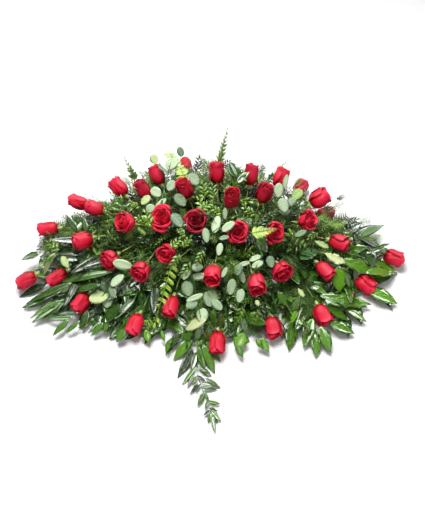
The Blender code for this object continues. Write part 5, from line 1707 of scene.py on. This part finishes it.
@dataclass
class Eucalyptus:
    """The silver-dollar eucalyptus of one side: round leaves on thin stems."""

    side: str
    nursery: Nursery
    reach: float = 0.036
    clearance: float = 0.032
    # Each leaf's foot and tip in the picture, its width in picture points, and its tint.
    leaves: tuple[tuple[float, ...], ...] = (
        (166, 168, 177, 161, 11, 0.85), (188, 175, 198, 184, 12, 0.35), (175, 181, 168, 190, 10, 0.55),
        (161, 195, 150, 190, 11, 1.0), (155, 209, 166, 199, 6, 1.2), (154, 205, 147, 212, 9, 0.85),
        (175, 195, 185, 205, 11, 0.25), (172, 214, 181, 227, 11, 0.1), (133, 187, 139, 192, 6, 0.4),
        (179, 147, 182, 156, 7, 0.1), (113, 262, 131, 268, 11, 0.95), (111, 286, 123, 275, 9, 0.85),
        (105, 279, 108, 294, 13, 0.35), (110, 292, 106, 307, 12, 0.5), (99, 304, 98, 313, 8, 0.7),
        (190, 270, 183, 279, 6, 1.1), (192, 277, 206, 275, 8, 1.15), (186, 281, 189, 296, 12, 0.55),
        (203, 294, 187, 301, 6, 1.1), (212, 290, 209, 306, 15, 0.6), (212, 300, 222, 309, 9, 0.5),
        (203, 308, 202, 322, 12, 0.95), (205, 228, 207, 242, 8, 0.6), (214, 233, 218, 216, 9, 1.1),
        (222, 231, 234, 222, 8, 1.15), (221, 243, 218, 255, 7, 1.0), (219, 239, 229, 236, 5, 0.3),
        (225, 208, 225, 219, 5, 0.6), (261, 256, 250, 261, 6, 0.8), (263, 262, 252, 267, 7, 1.2),
        (269, 256, 272, 267, 9, 0.2), (250, 262, 238, 266, 5, 0.7), (240, 264, 237, 275, 9, 0.15),
        (240, 270, 244, 283, 6, 0.75), (233, 279, 230, 294, 10, 0.45), (242, 289, 239, 302, 9, 0.65),
        (227, 267, 222, 277, 5, 0.8), (279, 183, 279, 197, 10, 0.85), (282, 198, 284, 212, 12, 0.5),
        (284, 188, 287, 175, 5, 0.7), (295, 236, 306, 231, 6, 0.4),
    )

    def build(self) -> bpy.types.Object:
        """Builds the twigs.

        Returns:
            The finished piece.
        """
        draw = random.Random(SEED + len(self.side))
        name = f"eucalyptus_{self.side}"
        node = CadNode(name)
        coins = node.coins()
        view = Studio()
        rest = [v.co.copy() for v in node.work.verts if v not in node.taken]
        rows = [row for row in self.leaves if (row[0] < view.picture_width / 2) == (self.side == "left")]
        places, points, faces = [], [], []
        for row in rows:
            middle = (row[0] + row[2]) / 2, (row[1] + row[3]) / 2
            near = [(coin.root - view.on_level(*middle, coin.root.z)).length for coin in coins]
            best = min(range(len(near)), key=near.__getitem__) if near else -1
            if near and near[best] < self.reach:
                spot = view.on_level(*middle, coins.pop(best).root.z)
            else:
                spot = view.on_mound(*middle, 1.07)
            places.append(view.seen_leaf(spot, row, draw))
        blooms = [vertex.co for vertex in self.nursery.blooms.data.vertices]
        coins = [coin for coin in coins if min((coin.root - spot).length for spot in blooms) > self.clearance]
        for coin in coins:
            foot = min(rest, key=lambda spot: (spot - coin.root).length)
            heading = coin.root - foot
            heading = (heading - coin.facing * heading.dot(coin.facing)).normalized()
            root = coin.root - heading * (coin.length * 0.45)
            places.append(LeafPlace(root, heading, coin.facing, coin.length * 0.8, coin.length * 0.7, tint=0.3))
        for place in places:
            stem = min(rest, key=lambda spot: (spot - place.root).length)
            if (stem - place.root).length > 0.05:
                stem = place.root.lerp(Vector((place.root.x * 0.8, place.root.y * 0.5, place.root.z * 0.55)), 0.4)
            FINE_FROND.needle(points, faces, stem, place.root + place.heading * 0.002, 0.0009)
        stalks = new_object("stalks", points, faces)
        stems = node.bare_stems("stems", 0.0003)
        for thin in (stalks, stems):
            thin.data.materials.append(GREEN_STEM.material())
        log.info("%s: %d leaves shown, %d more", name, len(rows), len(coins))
        parts = [stems, stalks, self.nursery.placed("coins", COIN_FORM, places, draw)]
        return finished(f"{name}_twigs", parts, "silver_green", name)


# Leaves that stand out in the picture: foot and tip there, width in picture points, and tint.
GLOSSY_ROWS = (
    (366, 273, 398, 270, 13, 0.9), (367, 289, 399, 303, 13, 0.85), (320, 296, 372, 305, 13, 0.55),
    (338, 266, 341, 294, 16, 0.95), (341, 260, 380, 273, 14, 0.7), (366, 253, 378, 270, 9, 0.2),
    (368, 254, 392, 240, 5, 0.3), (328, 322, 356, 333, 11, 0.5), (313, 318, 304, 347, 12, 0.75),
    (320, 326, 331, 352, 12, 0.6), (345, 308, 368, 321, 8, 0.7), (325, 304, 350, 321, 9, 0.4),
    (346, 272, 354, 296, 7, 0.35), (291, 323, 299, 306, 6, 0.95), (244, 333, 236, 350, 13, 1.0),
    (237, 344, 243, 358, 6, 0.6), (262, 338, 269, 353, 6, 0.9), (256, 338, 264, 350, 6, 0.7),
    (146, 330, 149, 343, 8, 0.9), (171, 338, 165, 354, 5, 0.6), (161, 330, 165, 342, 4, 0.9),
    (278, 292, 288, 306, 9, 0.35), (300, 296, 291, 314, 8, 0.45), (226, 320, 234, 334, 9, 0.3),
    (210, 321, 205, 338, 8, 0.35), (214, 309, 213, 330, 8, 0.5), (201, 325, 194, 344, 8, 0.4),
    (209, 326, 207, 345, 8, 0.3), (221, 314, 223, 331, 7, 0.25), (193, 330, 181, 343, 7, 0.3),
    (242, 318, 247, 334, 8, 0.4),
)
LANCE_ROWS = (
    (112, 272, 58, 280, 10, 0.65), (72, 283, 22, 303, 7, 0.45), (62, 291, 22, 307, 6, 0.6),
    (60, 300, 28, 318, 6, 0.95), (64, 303, 41, 319, 6, 0.7), (74, 318, 44, 318, 5, 0.8), (79, 313, 50, 313, 5, 0.3),
    (69, 319, 52, 336, 6, 0.9), (80, 321, 65, 333, 5, 0.9), (88, 310, 81, 329, 9, 0.3), (103, 323, 91, 335, 7, 0.95),
    (108, 322, 103, 333, 6, 1.0), (125, 329, 116, 342, 10, 1.1), (122, 305, 97, 325, 12, 0.35),
    (100, 285, 65, 292, 8, 0.6), (62, 302, 30, 322, 7, 0.8), (77, 231, 66, 215, 7, 0.35), (87, 232, 81, 216, 6, 0.45),
    (118, 312, 98, 330, 9, 0.5), (132, 318, 118, 331, 8, 0.6),
)
PALE_ROWS = (
    (345, 263, 325, 253, 9, 0.95), (55, 253, 40, 277, 8, 0.5), (62, 256, 68, 268, 8, 0.4),
    (206, 320, 182, 329, 11, 0.75), (329, 248, 315, 241, 6, 0.2), (174, 157, 163, 154, 5, 0.9),
    (304, 297, 298, 288, 5, 0.5), (256, 300, 259, 306, 5, 0.5),
)
PALE_COIN_ROWS = (
    (157, 163, 151, 155, 8.5, 0.45), (150, 196, 142, 204, 8, 0.4), (89, 298, 107, 297, 14, 0.6),
    (302, 190, 293, 199, 11, 0.05),
)
STRIPED_ROWS = ((237, 177, 229, 162, 11, 0.5), (237, 183, 249, 171, 8, 0.2))
SPRIG_ROWS = (
    (152, 227, 142, 208, 11, 0.9), (151, 223, 134, 217, 9, 0.8), (206, 215, 197, 195, 11, 0.8),
    (200, 212, 213, 200, 10, 0.7), (205, 200, 202, 180, 9, 0.6), (214, 200, 212, 182, 9, 0.5),
    (171, 249, 181, 236, 8, 0.9), (183, 248, 192, 236, 8, 0.8), (222, 214, 208, 206, 9, 0.9),
    (190, 262, 180, 278, 9, 0.4), (180, 254, 170, 270, 9, 0.5), (203, 250, 196, 266, 9, 0.5),
    (60, 250, 43, 238, 5, 0.5), (58, 254, 36, 258, 6, 0.3), (52, 246, 38, 248, 5, 0.3), (262, 182, 262, 171, 7, 0.3),
    (140, 207, 128, 203, 8, 0.8), (256, 215, 240, 208, 9, 0.6), (233, 186, 223, 192, 8, 0.6),
    (258, 310, 250, 326, 10, 0.6), (242, 306, 236, 324, 10, 0.7), (150, 318, 143, 334, 8, 0.9),
    (186, 236, 176, 228, 9, 0.6), (318, 232, 306, 240, 9, 0.4), (343, 232, 352, 246, 8, 0.6),
    (103, 213, 116, 204, 8, 0.5),
)


@dataclass
class ShownLeaves:
    """Single leaves and sprigs that stand out in the picture, each on a stalk out of the mass."""

    name: str
    form: Form
    nursery: Nursery
    rows: tuple[tuple[float, ...], ...]
    swell: float = 1.08
    low: float = 0.11
    rise: float = 0.018

    def build(self) -> bpy.types.Object:
        """Builds the leaves.

        Returns:
            The finished piece.
        """
        draw = random.Random(SEED + len(self.name))
        view = Studio()
        places, points, faces = [], [], []
        for row in self.rows:
            spot = view.on_mound((row[0] + row[2]) / 2, (row[1] + row[3]) / 2, self.swell)
            foot = view.on_mound(row[0], row[1], self.swell)
            if spot.z < self.low:
                tip = view.on_mound(row[2], row[3], self.swell)
                heights = kept(foot.z + self.rise, 0.02, 0.10), max(0.012, tip.z + 0.3 * self.rise)
                place = view.low_leaf(row, *heights, draw)
            else:
                place = view.seen_leaf(spot, row, draw)
            if not isinstance(self.form, LeafForm):
                place = replace(place, width=place.length)
            places.append(place)
            root = place.root
            inner = Vector((root.x * 0.85, root.y * 0.6, max(0.02, root.z * 0.6)))
            inner = root + (inner - root).normalized() * min(0.05, (inner - root).length)
            FINE_FROND.needle(points, faces, inner, root + place.heading * 0.002, 0.0012)
        stalks = new_object("stalks", points, faces)
        stalks.data.materials.append(GREEN_STEM.material())
        return finished(self.name, [stalks, self.nursery.placed("leaves", self.form, places, draw)], "leaf_green")


@dataclass
class Sprays:
    """Fern tips or myrtle spikes: stems with one small leaf at each twig of the CAD model, and more between."""

    node: str
    slot: str
    form: LeafForm
    nursery: Nursery
    width: float
    between: int = 1
    step: float = 0.003
    whorled: bool = False
    link: float = 0.016
    long: float = 0.10
    fine: float = 0.62

    def spray_of(self, twig: LeafPlace, twigs: list[LeafPlace]) -> list[Vector]:
        """Finds the leaflets of one spray.

        Args:
            twig: One of its leaflets.
            twigs: All leaflets.

        Returns:
            The feet of the leaflets that are linked to it by short steps.
        """
        found, fresh = [twig.root], [twig.root]
        while fresh:
            spot = fresh.pop()
            for other in twigs:
                if other.root not in found and (other.root - spot).length < self.link:
                    found.append(other.root)
                    fresh.append(other.root)
        return found

    def taper(self, twig: LeafPlace, twigs: list[LeafPlace]) -> float:
        """Tells how long a leaflet is for its place: a spray narrows to its tip, and a long one has finer leaflets.

        Args:
            twig: The leaflet.
            twigs: All leaflets.

        Returns:
            The share of its full length.
        """
        own = self.spray_of(twig, twigs)
        outer = max(own, key=lambda spot: spot.length)
        inner = max(own, key=lambda spot: (spot - outer).length)
        reach = max(0.001, (outer - inner).length)
        part = (twig.root - inner).length / reach
        return (1.25 - 0.75 * min(1.0, part) ** 1.3) * (self.fine if reach > self.long and outer.y < 0 else 1.0)

    def build(self) -> bpy.types.Object:
        """Builds the sprays.

        Returns:
            The finished piece.
        """
        draw = random.Random(SEED + len(self.node))
        node = CadNode(self.node)
        places = []
        twigs = node.twigs()
        for twig in twigs:
            near = min(twigs, key=lambda other: (other.root - twig.root).length if other is not twig else 1.0)
            far = sorted(twigs, key=lambda other: (other.root - twig.root).length)[1:4]
            along = max((other.root - near.root for other in far), key=lambda way: way.length).normalized()
            taper = self.taper(twig, twigs)
            for k in range(self.between):
                turned = twig.heading.copy()
                if self.whorled:
                    turned.rotate(Quaternion(along, math.tau * (k + draw.uniform(-0.15, 0.15)) / self.between))
                root = twig.root + along * (self.step * (k - (self.between - 1) / 2))
                length = twig.length * taper * draw.uniform(0.86, 1.1)
                facing = (twig.facing + along * 0.2).normalized()
                broad = 1.8 if twig.root.y > 0.05 and not self.whorled else 1.0
                places.append(LeafPlace(root, turned, facing, length, self.width * broad * length))
        stems = node.bare_stems("stems")
        stems.data.materials.append(self.form.finish.material())
        parts = [stems, self.nursery.placed("leaflets", self.form, places, draw)]
        return finished(f"{self.node}_sprays", parts, self.slot, self.node)


@dataclass
class TrailingRuscus:
    """The ruscus that trails forward over the table: small leaves at its end and large ones near the mass."""

    nursery: Nursery
    looseness: float = 0.45
    kept_share: float = 0.85
    narrow_ratio: float = 0.38
    # Where the large leaves' feet and tips show in the picture, and their widths in millimetres.
    large: tuple[tuple[float, float, float, float, float], ...] = (
        (181, 331, 165, 355, 20), (192, 338, 173, 361, 26), (193, 350, 178, 378, 24), (197, 352, 191, 372, 18),
        (203, 344, 215, 374, 24), (198, 346, 205, 370, 20), (206, 340, 221, 362, 20), (188, 342, 180, 352, 18),
        (200, 368, 212, 376, 14), (196, 366, 182, 385, 11), (205, 378, 221, 388, 11), (194, 374, 187, 388, 10),
        (201, 388, 219, 389, 9), (198, 383, 190, 395, 8), (204, 391, 209, 401, 8), (202, 393, 201, 401, 8),
        (209, 408, 218, 411, 8), (211, 412, 214, 427, 8), (210, 413, 208, 423, 8), (212, 414, 218, 423, 8),
    )

    def loosened(self, place: LeafPlace, draw: random.Random) -> LeafPlace:
        """Turns a leaf a little in its own plane, and changes its length.

        Args:
            place: The leaf's place.
            draw: Gives the amounts.

        Returns:
            The new place.
        """
        turn = Quaternion(place.facing, draw.uniform(-self.looseness, self.looseness))
        tilt = Quaternion(place.heading, draw.uniform(-0.6, 0.6))
        heading, facing = turn @ place.heading, tilt @ place.facing
        size = draw.uniform(0.62, 1.02)
        return LeafPlace(place.root, heading, facing, place.length * size, place.width * size, place.small)

    def build(self) -> bpy.types.Object:
        """Builds the trail.

        Returns:
            The finished piece.
        """
        draw = random.Random(SEED + 5)
        node = CadNode("trailing_ruscus")
        leaves = [self.loosened(place, draw) for place in node.leaves() if draw.random() < self.kept_share]
        view = Studio()
        for foot_x, foot_y, tip_x, tip_y, width in self.large:
            height = 0.030 if foot_y < 350 else 0.012
            foot, tip = view.on_level(foot_x, foot_y, height), view.on_level(tip_x, tip_y, 0.007)
            reach = tip - foot
            facing, _ = around(reach, Vector((draw.uniform(-0.5, 0.5), -0.2, 1.0)))
            leaves.append(LeafPlace(foot, reach.normalized(), facing, reach.length, width / 1000))
        stems = node.bare_stems("stems")
        stems.data.materials.append(GREEN_STEM.material())
        parts = [stems]
        for name, form, is_narrow in (("narrow", TRAIL_FORM, True), ("wide", BROAD_FORM, False)):
            chosen = [place for place in leaves if (place.width / place.length < self.narrow_ratio) == is_narrow]
            if chosen:
                parts.append(self.nursery.placed(name, form, chosen, draw))
        return finished("trailing_ruscus_sprigs", parts, "leaf_green", "trailing_ruscus")


@dataclass
class Filling:
    """Fine greenery that fills the mound between the roses, on wiry stems out of the foam."""

    name: str
    form: Form
    nursery: Nursery
    count: int
    seed: int
    pitch: float
    length: float
    width: float
    lean: float
    swell: tuple[float, float]
    stem_radius: float = 0.0007
    start: float = 0.35
    clearance: float = 0.012
    foam: Vector = Vector((0.218, 0.045, 0.080))
    dome: Dome = Dome()
    low_side: float = 6.0
    back_side: float = 6.0
    span: tuple[float, float] = (-0.455, 0.455)

    def paths(self) -> list[list[Vector]]:
        """Lays out the stems.

        Returns:
            The points of each stem.
        """
        draw = random.Random(self.seed)
        found = []
        for k in range(self.count):
            along, round_share = (k * SPREAD_STEPS[0] + 0.3) % 1.0, (k * SPREAD_STEPS[1] + 0.7) % 1.0
            x = self.span[0] + (self.span[1] - self.span[0]) * along
            degrees = self.low_side + (180 - self.low_side - self.back_side) * round_share
            swell = draw.uniform(*self.swell)
            end = self.dome.place(x, degrees, swell)
            while Studio().over_skyline(end) and swell > 0.4:
                swell -= 0.04
                end = self.dome.place(x, degrees, swell)
            end.z = max(end.z, 0.018)
            root = Vector((
                kept(end.x * 0.55 + draw.uniform(-0.02, 0.02), -self.foam.x, self.foam.x),
                kept(end.y * 0.4 + draw.uniform(-0.01, 0.01), -self.foam.y, self.foam.y),
                draw.uniform(0.05, self.foam.z),
            ))
            if end.z < 0.07:
                root.y = math.copysign(self.foam.y + 0.008, end.y)
                root.z = draw.uniform(0.03, 0.06)
            ray = end - root
            middle = root + ray * 0.45 + UP * (0.08 * ray.length)
            late = root + ray * 0.78 + UP * (0.07 * ray.length)
            sway = Vector((draw.uniform(-1, 1), draw.uniform(-1, 1), 0)) * (0.08 * ray.length)
            found.append([root, middle + sway * 0.4, late + sway, end + sway * 0.6])
        return found

    def build(self) -> bpy.types.Object:
        """Grows the filling.

        Returns:
            The finished piece.
        """
        names = ("pitch", "start", "lean", "length", "width", "stem_radius", "clearance", "seed")
        values = {name: getattr(self, name) for name in names}
        piece = self.nursery.along(self.name, self.form, self.paths(), **values)
        if isinstance(self.form, LeafForm):
            piece.data.shade_smooth()
        hand_over(piece, "leaf_green")
        return piece


@dataclass
class Skirt(Filling):
    """Leafy stems low over the table that close the spray's outline."""

    outline: tuple[tuple[float, float], ...] = (
        (-0.485, 0.02), (-0.49, -0.12), (-0.475, -0.19), (-0.41, -0.26), (-0.26, -0.295), (-0.13, -0.32),
        (0.06, -0.315), (0.23, -0.305), (0.37, -0.26), (0.46, -0.18), (0.47, -0.06), (0.46, 0.03),
    )
    share: tuple[float, float] = (0.0, 1.0)

    def paths(self) -> list[list[Vector]]:
        """Lays out the stems.

        Returns:
            The points of each stem.
        """
        draw = random.Random(self.seed)
        found = []
        last = len(self.outline) - 1
        for k in range(self.count):
            along = (self.share[0] + (self.share[1] - self.share[0]) * (k + draw.uniform(0.2, 0.8)) / self.count) * last
            first = min(int(along), last - 1)
            a, b = self.outline[first], self.outline[first + 1]
            part = along - first
            x, y = a[0] + (b[0] - a[0]) * part, a[1] + (b[1] - a[1]) * part
            reach = draw.uniform(*self.swell)
            end = Vector((x * reach, y * reach, draw.uniform(0.010, 0.030)))
            root = Vector((kept(0.62 * end.x, -self.foam.x, self.foam.x), 0.0, draw.uniform(0.03, 0.055)))
            root.y = kept(end.y, -self.foam.y, self.foam.y)
            ray = end - root
            rise = UP * (0.10 * ray.length + 0.008)
            found.append([root, root + ray * 0.3 + rise, root + ray * 0.65 + rise * 0.9, end])
        return found


# Holder and studio


@dataclass(frozen=True)
class Holder:
    """The saddle tray, its foam and its tapes, which keep their CAD meshes."""

    # The photo hides all three. Their looks are guessed from the record: wet foam, moulded plastic, waterproof tape.
    foam: SurfaceFinish = SurfaceFinish("floral_foam_wet", "123a22", "2a6a44", 900.0, 0.95, 0.6)
    tray: SurfaceFinish = SurfaceFinish("saddle_tray_moulded", "0e2a1a", "163c26", 300.0, 0.42, 0.1)
    tape: SurfaceFinish = SurfaceFinish("anchor_tape_waxed", "1d5a30", "2a7440", 500.0, 0.38, 0.3)

    def dress(self) -> None:
        """Gives each CAD mesh its finish."""
        finishes = {"foam": self.foam, "tray": self.tray, "tape_left": self.tape, "tape_right": self.tape}
        for node, finish in finishes.items():
            made = bpy.data.materials.get(finish.name) or finish.material()
            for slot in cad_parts[node].material_slots:
                slot.material = made
            log.info("%s: dressed as %s", node, finish.name)


def main() -> None:
    """Builds the spray in order and reports each piece."""
    Studio().build()
    Holder().dress()
    petal_finish = PETAL_VELVET.material()
    roses = [RoseBloom(k + 1, openness) for k, openness in enumerate(OPENNESS)]
    nursery = Nursery()
    spots = [rose.base + rose.axis * (rose.length * share) for rose in roses for share in (-0.1, 0.25, 0.6, 0.95, 1.3)]
    # Points over the front stems, towards the eye, keep leaves from hiding them.
    over = -Studio().frame_of()[1] * 0.028
    spots += [rose.base - rose.axis * back + over for rose in roses if rose.base.y < -0.1 for back in (0.020, 0.045)]
    nursery.blooms = new_object("bloom_middles", spots, [])
    for rose in roses:
        rose.build(petal_finish)
    for group in ("outer_left", "inner_left", "inner_right", "outer_right"):
        RoseStems(group, roses, nursery).build()
    for node in ("greens_left", "greens_right", "greens_front_left", "greens_front_right", "greens_back"):
        Greens(node, nursery).build()
    for side in ("left", "right"):
        Eucalyptus(side, nursery).build()
    Sprays("sword_fern_tips", "tip_green", LEAFLET_FORM, nursery, width=0.17, between=3, step=0.0032).build()
    Sprays(
        "myrtle_spikes", "spike_green", MYRTLE_FORM, nursery,
        width=0.40, between=3, step=0.0045, whorled=True, fine=0.85,
    ).build()
    TrailingRuscus(nursery).build()
    spans = (("left", (-0.44, -0.14), 30.0), ("middle", (-0.16, 0.16), 6.0), ("right", (0.14, 0.42), 55.0))
    for k, (side, span, back_side) in enumerate(spans):
        many = 96 if side == "middle" else 52
        # Name, form, count, seed, pitch, length, width, lean, swell, stem radius and start.
        fillings = (
            ("plumosus", FERN_FROND, 90, 11, 0.0125, 0.056, 0.060, 0.8, (0.60, 0.90), 0.0007, 0.25),
            ("brushes", FERN_BRUSH, 46, 61, 0.020, 0.066, 0.066, 0.7, (0.66, 0.94), 0.0007, 0.25),
            ("ruscus", RUSCUS_SPRIG, many, 23, 0.026, 0.056, 0.056, 0.85, (0.68, 0.95), 0.0010, 0.35),
        )
        room = {"clearance": 0.036, "back_side": back_side, "span": span}
        for name, form, count, seed, *sizes in fillings:
            Filling(f"{name}_{side}", form, nursery, count, seed + k, *sizes, **room).build()
    shown = (
        ("glossy_leaves", BROAD_FORM, GLOSSY_ROWS), ("lance_leaves", LANCE_FORM, LANCE_ROWS),
        ("pale_leaves", PALE_FORM, PALE_ROWS), ("pale_coins", PALE_COIN, PALE_COIN_ROWS),
        ("striped_leaves", STRIPED_FORM, STRIPED_ROWS), ("young_sprigs", BRIGHT_SPRIG, SPRIG_ROWS),
    )
    for name, form, rows in shown:
        ShownLeaves(name, form, nursery, rows).build()
    # Name, form and share of the outline, then count, seed, pitch, length, width, lean, swell and stem radius.
    skirts = (
        ("fern_front", FERN_FROND, (0.40, 0.72), 72, 53, 0.014, 0.050, 0.050, 0.8, (0.45, 0.86), 0.0008),
        ("skirt_left", LANCE_FORM, (0.0, 0.42), 17, 41, 0.034, 0.105, 0.026, 0.55, (0.72, 0.90), 0.0014),
        ("skirt_front", BROAD_FORM, (0.30, 0.74), 40, 43, 0.026, 0.056, 0.023, 0.8, (0.66, 0.93), 0.0014),
        ("skirt_right", BROAD_FORM, (0.64, 1.0), 11, 47, 0.038, 0.092, 0.038, 0.7, (0.70, 0.90), 0.0014),
    )
    for name, form, share, *sizes in skirts:
        Skirt(name, form, nursery, *sizes, start=0.30, clearance=0.025, share=share).build()
    nursery.close()


if __name__ == "__main__":
    main()
